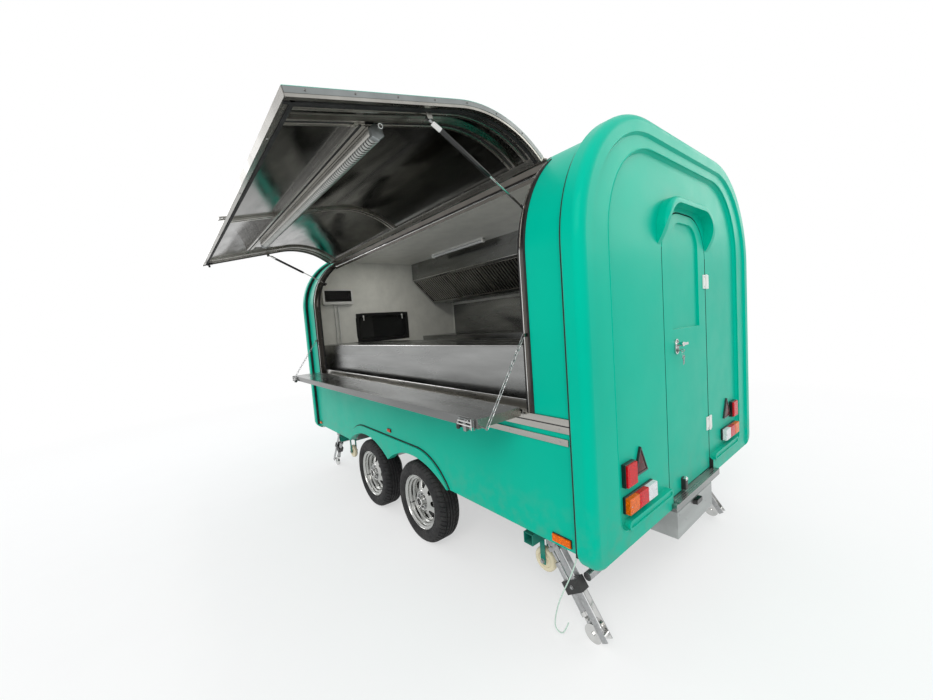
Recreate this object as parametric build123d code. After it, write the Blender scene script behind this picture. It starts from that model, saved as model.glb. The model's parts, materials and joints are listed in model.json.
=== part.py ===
from build123d import *
from math import atan2, cos, degrees, hypot, pi, radians, sin, tan
import os

# Tandem axle food trailer with moulded end caps and a lift-up serving hatch.
# Millimetres. +X points to the drawbar, +Y to the serving side, +Z up, the ground is z = 0.

# Body box between the end caps
BODY_HALF_LENGTH = 1732
BODY_HALF_WIDTH = 1050
CORNER_RADIUS = 600
ROOF_TOP = 2430
PANEL_BOTTOM = 515
WALL = 45
SEAT_GAP = 0.3
FLOOR_THICKNESS = 45

# Serving opening and its trim
OPENING_HALF = 1513
HINGE_ANGLE = 54
RAIL_BOTTOM = 1050
RAIL_TOP = 1115
RAIL_PROUD = 8
JAMB_SHEET = 26
JAMB_FLANGE = 45
STRIP_HEIGHT = 30
STRIP_PROUD = 7
STRIP_DROP = 25
SILL_UPSTAND = 12
SILL_TOP = 1162

# Hatch and its gas struts
HATCH_THICKNESS = 30
HATCH_SKIN = 4
HATCH_GAP = 5
HATCH_OPEN = 76
HATCH_BORDER = 40
STOP_GAP = 6
HINGE_PROUD = 9
RIB_WIDTH = 42
RIB_X = (OPENING_HALF - 95, OPENING_HALF - 200)
MID_RIB_X = -30
BEAM_X = (193 - OPENING_HALF, OPENING_HALF - 513)
BEAM_Z = 1460
LIGHT_X = (173 - OPENING_HALF, OPENING_HALF - 813)
HINGE_KNUCKLE = 6
HINGE_LEAF = 2.5
HATCH_CELL = 12
LOOP_X = -100
STRUT_X = OPENING_HALF - 89
STRUT_TUBE_LENGTH = 350
STRUT_TUBE_RADIUS = 11
STRUT_ROD_RADIUS = 5
STRUT_EYE = 9
STRUT_HATCH_Y = BODY_HALF_WIDTH - 48
STRUT_HATCH_Z = 1700
STRUT_JAMB_Y = BODY_HALF_WIDTH - 125
STRUT_JAMB_Z = 2085

# Folding shelf and its chains
SHELF_TOP = 1140
SHELF_DEPTH = 268
SHELF_THICKNESS = 42
SHELF_HALF = 1455
SHELF_SHEET = 4
SHELF_PIVOT = 6
SHELF_HINGE_Y = BODY_HALF_WIDTH + 16
CHAIN_X = OPENING_HALF - 15
CHAIN_TOP_Y = BODY_HALF_WIDTH + 18
CHAIN_TOP_Z = 1480
CHAIN_WIRE = 5
CHAIN_WIDTH = 19
CHAIN_HOOK = 4
CHAIN_PITCH = 27

# Moulded end caps
CAP_BOTTOM = 465
CAP_OVERHANG = 35
CAP_FACE = 82
RIM_STAND = 14
RIM_WIDTH = 96
RIM_ROLL = 42
CAP_DRAFT = 38
CAP_CORNER = 90
RECESS_HALF = BODY_HALF_WIDTH - 210
RECESS_TOP = 2310
RECESS_BOTTOM = 575
RECESS_RADIUS = 440
RECESS_DEPTH = 20
LEDGE_Y = 560
LEDGE_LENGTH = 470
LEDGE_HEIGHT = 46
LEDGE_STAND = 10

# Rear door and its canopy
DOOR_HALF = 300
DOOR_BOTTOM = 512
DOOR_TOP = 2070
DOOR_RADIUS = 230
DOOR_THICKNESS = 36
DOOR_GAP = 7
DOOR_STANDOFF = 8
DOOR_HINGES_Z = (805, 1700)
PRESSING_HALF = 190
PRESSING_BOTTOM = 1435
PRESSING_TOP = 2020
PRESSING_RADIUS = 130
PRESSING_DEPTH = 12
CANOPY_DEPTH = 58
CANOPY_HALF = 314
CANOPY_TOP = 2100
CANOPY_RADIUS = 145
CANOPY_BAND = 36
CANOPY_TIP = 1885
CANOPY_TAPER = 180
CANOPY_ROLL = 24

# Front window
WINDOW_Y = (-210, 480)
WINDOW_Z = (1430, 1745)
WINDOW_CORNER = 60

# Running gear
WHEEL_MID_X = 20
AXLE_SPACING = 776
TYRE_RADIUS = 292
TYRE_WIDTH = 175
RIM_SEAT_RADIUS = 178
RIM_FLANGE_RADIUS = 195
RIM_WIDTH_Y = 150
SPOKES = 8
STUB_RADIUS = 30
ARCH_RADIUS = 660
ARCH_TOP = 646
FENDER_TOP = 712
FENDER_HALF = 800
FENDER_PROUD = 16

# Chassis
RAIL_Y = 740
RAIL_WIDTH = 60
RAIL_HEIGHT = 60
CROSS_X = (32 - BODY_HALF_LENGTH, -900, 960, BODY_HALF_LENGTH - 32)
CROSS_REACH = BODY_HALF_WIDTH - 90
OUTRIGGER_X = {"rear": 352 - BODY_HALF_LENGTH, "front": BODY_HALF_LENGTH - 482}
OUTRIGGER_SIZE = 60
OUTRIGGER_REACH = BODY_HALF_WIDTH - 50
TUBE_WALL = 5

# Corner steadies and castors
LEG_PIVOT_X = BODY_HALF_LENGTH - 252
LEG_PIVOT_Z = 425
LEG_TIP_X = BODY_HALF_LENGTH + 18
LEG_TIP_Z = 47
LEG_FOOT_X = BODY_HALF_LENGTH - 50
LEG_FOOT_RADIUS = 45
LEG_BAR_GAP = 20
LEG_SIDE_GAP = 57
LEG_TUBE_X = BODY_HALF_LENGTH - 96
LEG_TUBE_Z = 285
LEG_TUBE_RADIUS = 21
CASTOR_Y = BODY_HALF_WIDTH - 185
CASTOR_Z = 255
CASTOR_RADIUS = 66
CASTOR_WIDTH = 36
CASTOR_AXLE = 8

# Drawbar, coupling and jockey wheel
DRAWBAR_TIP_X = BODY_HALF_LENGTH + 1028
DRAWBAR_ROOT_X = BODY_HALF_LENGTH - 282
DRAWBAR_TIP_Y = 45
BALL_X = BODY_HALF_LENGTH + 1168
BALL_RADIUS = 25
JOCKEY_X = BODY_HALF_LENGTH + 768
JOCKEY_RADIUS = 100
JOCKEY_TRAIL = 55

# Loose lamp wire under the rear left corner: x, y, z of each corner of its route
WIRE_RADIUS = 3
WIRE_GROMMET = 12
WIRE_ROUTE = (
    (-1674, 1000, 503), (-1674, 1000, 458), (-1650, 1001, 388), (-1621, 1003, 319), (-1589, 1006, 250),
    (-1560, 1007, 180), (-1539, 1006, 110), (-1530, 1004, 70), (-1527, 1002, 40), (-1541, 1000, 23),
    (-1563, 998, 23), (-1577, 997, 40), (-1593, 997, 72), (-1606, 998, 103))

# Inside
BENCH_TOP = 1420
BENCH_EDGE_Y = BODY_HALF_WIDTH - 120
BENCH_BACK_Y = BENCH_EDGE_Y - 540
BENCH_X = (42 - BODY_HALF_LENGTH, BODY_HALF_LENGTH - 32)
HOOD_FACE_Y = 720 - BODY_HALF_WIDTH
HOOD_LIP_Z = 2170
HOOD_LOW_Y = 400 - BODY_HALF_WIDTH
HOOD_LOW_Z = 1860
HOOD_X = (-900, BODY_HALF_LENGTH - 42)
SLAT_PITCH = 43

ARC_Y = BODY_HALF_WIDTH - CORNER_RADIUS
ARC_Z = ROOF_TOP - CORNER_RADIUS
FLOOR_TOP = PANEL_BOTTOM + FLOOR_THICKNESS
INNER_Y = BODY_HALF_WIDTH - WALL
BODY_X = (-BODY_HALF_LENGTH, BODY_HALF_LENGTH)
FAR = 4000
HINGE_Y = ARC_Y + (CORNER_RADIUS + HINGE_PROUD) * cos(radians(HINGE_ANGLE))
HINGE_Z = ARC_Z + (CORNER_RADIUS + HINGE_PROUD) * sin(radians(HINGE_ANGLE))
HATCH_HALF = OPENING_HALF - JAMB_SHEET - HATCH_GAP
AXLE_X = {"front": WHEEL_MID_X + AXLE_SPACING / 2, "rear": WHEEL_MID_X - AXLE_SPACING / 2}
WHEEL_Y = BODY_HALF_WIDTH - TYRE_WIDTH / 2
CAP_BACK = BODY_HALF_LENGTH + CAP_FACE
DOOR_X = -(CAP_BACK - RECESS_DEPTH)
DOOR_HINGE_X = DOOR_X - DOOR_STANDOFF
SHELF_HINGE_Z = SHELF_TOP - SHELF_PIVOT
HATCH_LOW = SHELF_TOP + HATCH_GAP + 2
DOOR_HINGE_Y = -(DOOR_HALF + DOOR_GAP / 2)
RAIL_UNDER = PANEL_BOTTOM - RAIL_HEIGHT
LOW = (Align.CENTER, Align.CENTER, Align.MIN)
ENDS = {"rear": -1, "front": 1}
SIDES = {"left": 1, "right": -1}
# Leg places: end and side, distance from the centre line; the rear right one hangs inside the rail
LEG_PLACES = {("rear", "left"): 905, ("rear", "right"): -665, ("front", "left"): 905, ("front", "right"): -905}

parts = {}


def block(x, y, z):
    """Box between the low and high value of each pair."""
    size = Box(x[1] - x[0], y[1] - y[0], z[1] - z[0])
    return Pos((x[0] + x[1]) / 2, (y[0] + y[1]) / 2, (z[0] + z[1]) / 2) * size


def rod(start, end, radius):
    """Round bar between two points."""
    a, b = Vector(*start), Vector(*end)
    return Plane(origin=a, z_dir=b - a) * Cylinder(radius, (b - a).length, align=LOW)


def bar(start, end, width, depth):
    """Rectangular bar between two points; width lies level across it, depth stands up."""
    a, b = Vector(*start), Vector(*end)
    run = b - a
    level = Vector(0, 0, 1).cross(run)
    return Plane(origin=a, x_dir=level, z_dir=run) * Box(width, depth, run.length, align=LOW)


def arch(x, half_width, bottom, top, radius, low_radius=0, draft=0):
    """Upright slab with rounded upper corners between two stations along X; draft widens it on its way."""
    face = Pos(0, (bottom + top) / 2) * Rectangle(2 * half_width, top - bottom)
    face = fillet(face.vertices().sort_by(Axis.Y)[-2:], radius)
    if low_radius:
        face = fillet(face.vertices().sort_by(Axis.Y)[:2], low_radius)
    return extrude(Plane.YZ.offset(x[0]) * face, amount=x[1] - x[0], taper=-draft)


def body_arch(x, inset, bottom=0):
    """Body cross-section, moved inwards by inset."""
    return arch(x, BODY_HALF_WIDTH - inset, bottom, ROOF_TOP - inset, CORNER_RADIUS - inset)


def body_shell(x, outer, inner, bottom=0):
    """Skin between two insets of the body cross-section."""
    return body_arch(x, outer, bottom) - body_arch((x[0] - 1, x[1] + 1), inner, bottom - 1)


def side_zone(bottom, angle=HINGE_ANGLE, x=(-FAR, FAR)):
    """Space on the serving side, under a radial plane of the roof corner."""
    reach = 2 * CORNER_RADIUS
    tip_z = ARC_Z + reach * sin(radians(angle))
    outline = Polygon(
        (ARC_Y, bottom), (BODY_HALF_WIDTH + reach, bottom), (BODY_HALF_WIDTH + reach, tip_z),
        (ARC_Y + reach * cos(radians(angle)), tip_z), (ARC_Y, ARC_Z), align=None)
    return extrude(Plane.YZ.offset(x[0]) * outline, amount=x[1] - x[0])


def other_side(shape):
    """The same shape on the other side of the body."""
    return mirror(shape, about=Plane.XZ)


def other_end(shape):
    """The same shape at the other end of the body."""
    return mirror(shape, about=Plane.YZ)


def prism_yz(points, x):
    """Outline of (y, z) points, extruded along X."""
    return extrude(Plane.YZ.offset(x[0]) * Polygon(*points, align=None), amount=x[1] - x[0])


def prism_xz(points, y):
    """Outline of (x, z) points, extruded along Y."""
    return extrude(Plane.XZ.offset(-y[1]) * Polygon(*points, align=None), amount=y[1] - y[0])


def wheel_arches(y):
    """Two shallow discs that cut the tandem arch through a side panel."""
    depth = y[1] - y[0]
    discs = [
        Pos(x, (y[0] + y[1]) / 2, ARCH_TOP - ARCH_RADIUS) * Rot(90, 0, 0) * Cylinder(ARCH_RADIUS, depth)
        for x in AXLE_X.values()]
    return discs[0] + discs[1]


def body_panels():
    """Side walls, corner panels beside the hatch, roof, and floor with its wheel boxes."""
    lower = block(BODY_X, (INNER_Y, BODY_HALF_WIDTH), (PANEL_BOTTOM, RAIL_BOTTOM))
    arches = wheel_arches((INNER_Y - 1, BODY_HALF_WIDTH + 1))
    parts["side_panel_left"] = lower - arches
    corner = body_shell((OPENING_HALF, BODY_HALF_LENGTH), 0, WALL) & side_zone(RAIL_TOP)
    parts["corner_panels_left"] = corner + other_end(corner)
    whole = body_shell(BODY_X, 0, WALL)
    parts["side_wall_right"] = (whole & other_side(side_zone(PANEL_BOTTOM))) - other_side(arches)
    roof = whole - side_zone(-1) - other_side(side_zone(-1))
    parts["roof_panel"] = roof - block((-FAR, FAR), (-FAR, FAR), (-2, ARC_Z))
    floor = block(BODY_X, (-INNER_Y, INNER_Y), (PANEL_BOTTOM, FLOOR_TOP))
    reach = TYRE_RADIUS + 60
    sheet = 12
    well_x = (AXLE_X["rear"] - reach, AXLE_X["front"] + reach)
    well_y = (BODY_HALF_WIDTH - TYRE_WIDTH - 35, INNER_Y)
    outside = block((well_x[0] - sheet, well_x[1] + sheet), (well_y[0] - sheet, well_y[1]),
                    (PANEL_BOTTOM, ARCH_TOP + 15))
    inside = block(well_x, (well_y[0], well_y[1] + 1), (PANEL_BOTTOM - 1, ARCH_TOP + 15 - sheet))
    for turn in (lambda shape: shape, other_side):
        floor = floor + turn(outside) - turn(inside)
    parts["floor_panel"] = floor


def fenders():
    """Raised eyebrow moulding round both tandem arches."""
    end_x, flat_x = FENDER_HALF, 420
    mid = (end_x * 0.82, PANEL_BOTTOM + (FENDER_TOP - PANEL_BOTTOM) * 0.70)
    with BuildSketch(Plane.XZ) as outline:
        with BuildLine():
            ThreePointArc((-end_x, PANEL_BOTTOM), (-mid[0], mid[1]), (-flat_x, FENDER_TOP))
            Line((-flat_x, FENDER_TOP), (flat_x, FENDER_TOP))
            ThreePointArc((flat_x, FENDER_TOP), (mid[0], mid[1]), (end_x, PANEL_BOTTOM))
            Line((end_x, PANEL_BOTTOM), (-end_x, PANEL_BOTTOM))
        make_face()
    slab = extrude(outline.sketch, amount=-FENDER_PROUD)
    slab = Pos(WHEEL_MID_X, BODY_HALF_WIDTH, 0) * slab
    left = slab - wheel_arches((BODY_HALF_WIDTH - 1, BODY_HALF_WIDTH + FENDER_PROUD + 1))
    parts["fenders"] = left + other_side(left)


def hinge_row(own, leaf_angles):
    """Every second knuckle of the hatch's long hinge, webbed to a curved leaf."""
    knuckles = 13
    pitch = 2 * HATCH_HALF / knuckles
    leaf = body_shell((-HATCH_HALF, HATCH_HALF), -HINGE_LEAF - 0.3, -0.3)
    leaf = leaf & side_zone(ARC_Z, leaf_angles[1]) - side_zone(-2, leaf_angles[0])
    outward = 1 if leaf_angles[0] > HINGE_ANGLE else -1
    for i in range(own, knuckles, 2):
        low = -HATCH_HALF + i * pitch + 0.5
        high = low + pitch - 1
        knuckle = rod((low, 0, HINGE_PROUD), (high, 0, HINGE_PROUD), HINGE_KNUCKLE)
        web = block((low, high), sorted((-outward, -outward * HINGE_KNUCKLE)), (1, HINGE_PROUD))
        leaf += Pos(0, ARC_Y, ARC_Z) * Rot(HINGE_ANGLE - 90, 0, 0) * Pos(0, 0, CORNER_RADIUS) * (knuckle + web)
    return leaf


def opening_trim():
    """Stainless jambs, header and sill rails round the serving opening."""
    stop = HATCH_THICKNESS + STOP_GAP
    jamb = body_shell((OPENING_HALF - JAMB_SHEET, OPENING_HALF), 0, WALL)
    jamb += body_shell((OPENING_HALF - JAMB_SHEET - JAMB_FLANGE, OPENING_HALF), stop, WALL + 2)
    jamb &= side_zone(RAIL_TOP, HINGE_ANGLE - 1)
    inner_x = OPENING_HALF - JAMB_SHEET
    pin = rod((STRUT_X + STRUT_EYE / 2 + 1, STRUT_JAMB_Y, STRUT_JAMB_Z), (inner_x, STRUT_JAMB_Y, STRUT_JAMB_Z), 5)
    tab = block((inner_x - 16, inner_x - 8), (STRUT_JAMB_Y - 14, INNER_Y - 20), (STRUT_JAMB_Z - 14, STRUT_JAMB_Z + 14))
    tab = tab & body_arch((0, FAR), WALL - 4)
    hook_x = CHAIN_X + CHAIN_HOOK
    hook = block((hook_x, hook_x + 8), (BODY_HALF_WIDTH - 2, CHAIN_TOP_Y + 6), (CHAIN_TOP_Z - 8, CHAIN_TOP_Z + 8))
    hook += rod((CHAIN_X - 6, CHAIN_TOP_Y, CHAIN_TOP_Z), (hook_x, CHAIN_TOP_Y, CHAIN_TOP_Z), CHAIN_HOOK)
    jamb = jamb + pin + tab + hook
    flange_x = inner_x - JAMB_FLANGE
    header = body_shell((-flange_x, flange_x), stop, WALL + 14)
    header = header & side_zone(ARC_Z, HINGE_ANGLE) - side_zone(-2, HINGE_ANGLE - 3)
    edge = body_shell((-HATCH_HALF, HATCH_HALF), 0, WALL)
    edge = edge & side_zone(ARC_Z, HINGE_ANGLE) - side_zone(-2, HINGE_ANGLE - 0.9)
    fixed_leaf = hinge_row(0, (HINGE_ANGLE + 0.35, HINGE_ANGLE + 4.2))
    parts["opening_frame"] = jamb + other_end(jamb) + header + edge + fixed_leaf
    face_y = BODY_HALF_WIDTH + RAIL_PROUD
    rail = block(BODY_X, (INNER_Y, face_y), (RAIL_BOTTOM, RAIL_TOP))
    rail -= block(BODY_X, (face_y - 4, face_y + 1), (RAIL_BOTTOM + 30, RAIL_BOTTOM + 35))
    rail += block((-flange_x, flange_x), (INNER_Y - 4, INNER_Y - 4 + SILL_UPSTAND), (RAIL_TOP - 4, SILL_TOP))
    rail += block((-SHELF_HALF, SHELF_HALF), (face_y, face_y + 2), (RAIL_TOP - 24, SHELF_HINGE_Z - 8))
    for x in (-1080, 0, 1080):
        rail += rod((x - 60, SHELF_HINGE_Y, SHELF_HINGE_Z), (x + 60, SHELF_HINGE_Y, SHELF_HINGE_Z), SHELF_PIVOT)
        rail += block((x - 60, x + 60), (face_y, SHELF_HINGE_Y), (SHELF_HINGE_Z - 12, SHELF_HINGE_Z))
    strip_top = RAIL_BOTTOM - STRIP_DROP
    strip = block((-BODY_HALF_LENGTH + 30, BODY_HALF_LENGTH - 30),
                  (BODY_HALF_WIDTH, BODY_HALF_WIDTH + STRIP_PROUD), (strip_top - STRIP_HEIGHT, strip_top))
    parts["sill_rails"] = rail + strip


def hatch():
    """Lift-up hatch, drawn shut and then turned to its open rest position."""
    span = (-HATCH_HALF, HATCH_HALF)
    edge_angle = HINGE_ANGLE - 1.6
    zone = side_zone(HATCH_LOW, edge_angle)
    skin = body_shell(span, 0, HATCH_SKIN) & zone
    frame = body_shell(span, HATCH_SKIN, HATCH_THICKNESS) & zone
    inner_x = HATCH_HALF - HATCH_BORDER
    inner_zone = side_zone(HATCH_LOW + HATCH_BORDER, HINGE_ANGLE - 5)
    frame -= body_shell((-inner_x, inner_x), HATCH_CELL, HATCH_THICKNESS + 20) & inner_zone
    for x in (*RIB_X, -RIB_X[0], -RIB_X[1], MID_RIB_X):
        frame += body_shell((x - RIB_WIDTH / 2, x + RIB_WIDTH / 2), HATCH_CELL, HATCH_THICKNESS - 6) & inner_zone
    cell_y = BODY_HALF_WIDTH - HATCH_CELL
    frame += block(BEAM_X, (BODY_HALF_WIDTH - 36, cell_y), (BEAM_Z - 22, BEAM_Z + 22))
    side_x = STRUT_X + STRUT_TUBE_RADIUS + 1
    bracket = block((side_x, side_x + 4), (STRUT_HATCH_Y - 9, cell_y), (STRUT_HATCH_Z - 12, STRUT_HATCH_Z + 12))
    pin = rod((STRUT_X - 8, STRUT_HATCH_Y, STRUT_HATCH_Z), (side_x + 4, STRUT_HATCH_Y, STRUT_HATCH_Z), 4)
    frame += bracket + pin
    frame += other_end(bracket + pin)
    loop = block((LOOP_X - 30, LOOP_X + 30), (cell_y - 8, cell_y), (HATCH_LOW - 26, HATCH_LOW))
    loop -= block((LOOP_X - 20, LOOP_X + 20), (cell_y - 9, cell_y + 1), (HATCH_LOW - 17, HATCH_LOW - 6))
    frame += loop
    light_y = (BODY_HALF_WIDTH - 96, BODY_HALF_WIDTH - 36)
    light_z = (BEAM_Z + 24, BEAM_Z + 82)
    light = block(LIGHT_X, light_y, light_z)
    for x in (LIGHT_X[0] + 120, 220, LIGHT_X[1] - 60):
        light += block((x - 20, x + 20), (light_y[1], cell_y), light_z)
    turn = Pos(0, HINGE_Y, HINGE_Z) * Rot(HATCH_OPEN, 0, 0) * Pos(0, -HINGE_Y, -HINGE_Z)
    parts["hatch_skin"] = turn * skin
    leaf = hinge_row(1, (HINGE_ANGLE - 4.6, HINGE_ANGLE - 0.4))
    tie = body_shell(span, -0.5, HATCH_THICKNESS) & (side_zone(ARC_Z, edge_angle) - side_zone(-2, edge_angle - 0.8))
    parts["hatch_skin"] = turn * (skin - tie)
    parts["hatch_frame"] = turn * (frame + tie + leaf)
    parts["hatch_light"] = turn * light


def hatch_turned(y, z, angle):
    """Point of the shut hatch after it has opened by angle, in degrees."""
    dy, dz = y - HINGE_Y, z - HINGE_Z
    c, s = cos(radians(angle)), sin(radians(angle))
    return HINGE_Y + dy * c - dz * s, HINGE_Z + dy * s + dz * c


def gas_struts():
    """Cylinder hung from the hatch, and the rod that slides in it down to the jamb."""
    top = hatch_turned(STRUT_HATCH_Y, STRUT_HATCH_Z, HATCH_OPEN)
    foot = (STRUT_JAMB_Y, STRUT_JAMB_Z)
    length = hypot(foot[0] - top[0], foot[1] - top[1])
    along = ((foot[0] - top[0]) / length, (foot[1] - top[1]) / length)

    def at(distance):
        return (0, top[0] + along[0] * distance, top[1] + along[1] * distance)

    eye = Rot(0, 90, 0) * Cylinder(STRUT_EYE, STRUT_EYE) - Rot(0, 90, 0) * Cylinder(4.1, STRUT_EYE + 2)
    tube = rod(at(STRUT_EYE - 2), at(STRUT_TUBE_LENGTH), STRUT_TUBE_RADIUS)
    tube -= rod(at(60), at(STRUT_TUBE_LENGTH + 1), STRUT_ROD_RADIUS + 0.1)
    tube -= Pos(at(0)) * Rot(0, 90, 0) * Cylinder(STRUT_EYE + 4, 60)
    neck = rod(at(STRUT_EYE - 2), at(STRUT_EYE + 12), 5)
    tube = tube + neck + Pos(at(0)) * eye
    foot_eye = Rot(0, 90, 0) * Cylinder(STRUT_EYE, STRUT_EYE)
    slider = rod(at(STRUT_TUBE_LENGTH - 40), at(length - 4), STRUT_ROD_RADIUS) + Pos(at(length)) * foot_eye
    for end, sign in ENDS.items():
        parts[f"strut_tube_{end}"] = Pos(sign * STRUT_X, 0, 0) * tube
        parts[f"strut_rod_{end}"] = Pos(sign * STRUT_X, 0, 0) * slider


def shelf():
    """Folding stainless shelf with turned-down edges, corner latches and chain eyes."""
    inner_y = SHELF_HINGE_Y + SHELF_PIVOT + 2
    outer_y = inner_y + SHELF_DEPTH
    top_z = SHELF_TOP
    low_z = top_z - SHELF_THICKNESS
    span = (-SHELF_HALF, SHELF_HALF)
    tray = block(span, (inner_y, outer_y), (low_z, top_z))
    inside = (span[0] + SHELF_SHEET, span[1] - SHELF_SHEET)
    tray -= block(inside, (inner_y + SHELF_SHEET, outer_y - SHELF_SHEET), (low_z - 1, top_z - SHELF_SHEET))
    for x in (-725, 0, 725):
        tray += block((x - 20, x + 20), (inner_y, outer_y), (top_z - 24, top_z))
    for x in (-1080, 0, 1080):
        for side in (-1, 1):
            mid = x + side * 82
            tray += rod((mid - 20, SHELF_HINGE_Y, SHELF_HINGE_Z), (mid + 20, SHELF_HINGE_Y, SHELF_HINGE_Z), SHELF_PIVOT)
            tray += block((mid - 20, mid + 20), (SHELF_HINGE_Y, inner_y), (SHELF_HINGE_Z, top_z))
    latch = block((SHELF_HALF - 130, SHELF_HALF - 20), (outer_y, outer_y + 6), (low_z - 8, top_z - 6))
    latch += rod((SHELF_HALF - 120, outer_y + 12, top_z - 16), (SHELF_HALF - 30, outer_y + 12, top_z - 16), 5)
    latch += block((SHELF_HALF - 84, SHELF_HALF - 66), (outer_y, outer_y + 16), (low_z - 18, top_z - 12))
    eye = (outer_y - 12, low_z + 8)
    latch += rod((SHELF_HALF - SHELF_SHEET, *eye), (CHAIN_X - CHAIN_WIRE / 2 - SEAT_GAP, *eye), CHAIN_HOOK)
    parts["shelf_board"] = tray + latch + other_end(latch)
    return eye


def chains(eye_y, eye_z):
    """Run of alternately turned links from each jamb hook to the shelf's eye."""
    reach = hypot(eye_y - CHAIN_TOP_Y, eye_z - CHAIN_TOP_Z)
    angle = degrees(atan2(eye_z - CHAIN_TOP_Z, eye_y - CHAIN_TOP_Y))
    hole_half = CHAIN_WIDTH / 2 - CHAIN_WIRE
    count = 2 * int(reach / CHAIN_PITCH / 2) + 1
    pitch = (reach + 2 * hole_half) / count
    outer = SlotOverall(pitch + 2 * CHAIN_WIRE, CHAIN_WIDTH)
    flat_link = extrude(outer - SlotOverall(pitch, 2 * hole_half), amount=CHAIN_WIRE / 2, both=True)
    chain = None
    for i in range(count):
        roll = 0 if i % 2 else 90
        link = Pos((i + 0.5) * pitch - hole_half, 0, 0) * Rot(roll, 0, 0) * flat_link
        chain = link if chain is None else chain + link
    place = Pos(0, CHAIN_TOP_Y, CHAIN_TOP_Z) * Rot(0, 0, 90) * Rot(0, -angle, 0)
    for end, sign in ENDS.items():
        parts[f"chain_{end}"] = Pos(sign * CHAIN_X, 0, 0) * place * chain


def cap_blank():
    """Front cap before its openings: rolled rim, flat band and arched recess."""
    outer = BODY_HALF_WIDTH + CAP_OVERHANG
    top = ROOF_TOP + CAP_OVERHANG
    radius = CORNER_RADIUS + CAP_OVERHANG
    rim_x = CAP_BACK + RIM_STAND
    plate = arch((BODY_HALF_LENGTH, rim_x), outer, CAP_BOTTOM, top, radius, CAP_CORNER)
    rim_edges = [e for e in plate.edges() if abs(e.center().X - rim_x) < 1]
    plate = fillet(rim_edges, RIM_ROLL)
    seam_edges = [e for e in plate.edges() if abs(e.center().X - BODY_HALF_LENGTH) < 1]
    plate = fillet(seam_edges, 12)
    plate -= arch((CAP_BACK, rim_x + 1), outer - RIM_WIDTH, CAP_BOTTOM - 60, top - RIM_WIDTH, radius - RIM_WIDTH,
                  draft=CAP_DRAFT)
    recess_x = (CAP_BACK - RECESS_DEPTH, CAP_BACK + 1)
    plate -= arch(recess_x, RECESS_HALF, RECESS_BOTTOM, RECESS_TOP, RECESS_RADIUS, RIM_ROLL, CAP_DRAFT)
    return plate


def rear_cap():
    """Rear cap with the door opening, its arched canopy and the two lamp ledges."""
    cap = other_end(cap_blank())
    opening = DOOR_HALF + DOOR_GAP
    cap -= arch((-FAR, FAR), opening, DOOR_BOTTOM - DOOR_GAP, DOOR_TOP + DOOR_GAP, DOOR_RADIUS + DOOR_GAP)
    canopy_x = (DOOR_X - CANOPY_DEPTH, DOOR_X)
    outer_radius = CANOPY_RADIUS + CANOPY_BAND
    canopy = arch(canopy_x, CANOPY_HALF + CANOPY_BAND, CANOPY_TIP, CANOPY_TOP + CANOPY_BAND, outer_radius)
    canopy -= arch((canopy_x[0] - 1, canopy_x[1] + 1), CANOPY_HALF, CANOPY_TIP - 1, CANOPY_TOP, CANOPY_RADIUS)
    front_edges = [e for e in canopy.edges() if abs(e.center().X - canopy_x[0]) < 0.5]
    outer_edges = [e for e in front_edges if abs(e.center().Y) > CANOPY_HALF + 1 or e.center().Z > CANOPY_TOP + 1]
    canopy = fillet(outer_edges, CANOPY_ROLL)
    taper_radius = (CANOPY_DEPTH ** 2 + CANOPY_TAPER ** 2) / 2 / CANOPY_DEPTH
    taper_z = CANOPY_TIP + CANOPY_TAPER
    taper = Pos(canopy_x[0] + taper_radius, 0, taper_z) * Rot(90, 0, 0) * Cylinder(taper_radius, 4 * CANOPY_HALF)
    taper += block(canopy_x, (-FAR, FAR), (taper_z, FAR))
    cap += canopy & taper
    slot = SlotOverall(LEDGE_LENGTH, LEDGE_HEIGHT) - SlotOverall(LEDGE_LENGTH - 24, LEDGE_HEIGHT - 24)
    ledge = extrude(Plane.YZ.offset(-CAP_BACK - LEDGE_STAND) * (Pos(LEDGE_Y, RECESS_BOTTOM) * slot),
                    amount=LEDGE_STAND + RECESS_DEPTH)
    ledge += extrude(Plane.YZ.offset(-CAP_BACK - 4) * (Pos(LEDGE_Y, RECESS_BOTTOM) *
                     SlotOverall(LEDGE_LENGTH, LEDGE_HEIGHT)), amount=RECESS_DEPTH + 4)
    cap += ledge + other_side(ledge)
    parts["cap_rear"] = cap


def front_cap():
    """Front cap with its window opening, the window's frame and pane."""
    face_x = CAP_BACK - RECESS_DEPTH
    width, height = WINDOW_Y[1] - WINDOW_Y[0], WINDOW_Z[1] - WINDOW_Z[0]
    centre = Pos((WINDOW_Y[0] + WINDOW_Y[1]) / 2, (WINDOW_Z[0] + WINDOW_Z[1]) / 2)

    def pane(x, grow):
        outline = RectangleRounded(width + 2 * grow, height + 2 * grow, WINDOW_CORNER + grow)
        return extrude(Plane.YZ.offset(x[0]) * (centre * outline), amount=x[1] - x[0])

    parts["cap_front"] = cap_blank() - pane((0, FAR), 0) - drawbar(grow=8)
    frame = pane((face_x, face_x + 6), 22) + pane((BODY_HALF_LENGTH - 6, BODY_HALF_LENGTH), 22)
    frame += pane((BODY_HALF_LENGTH - 6, face_x + 6), 0)
    frame -= pane((0, FAR), -16)
    glass_x = (face_x - 20, face_x - 15)
    frame -= pane(glass_x, -8)
    parts["window_frame"] = frame
    parts["window_glass"] = pane(glass_x, -8)


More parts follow.
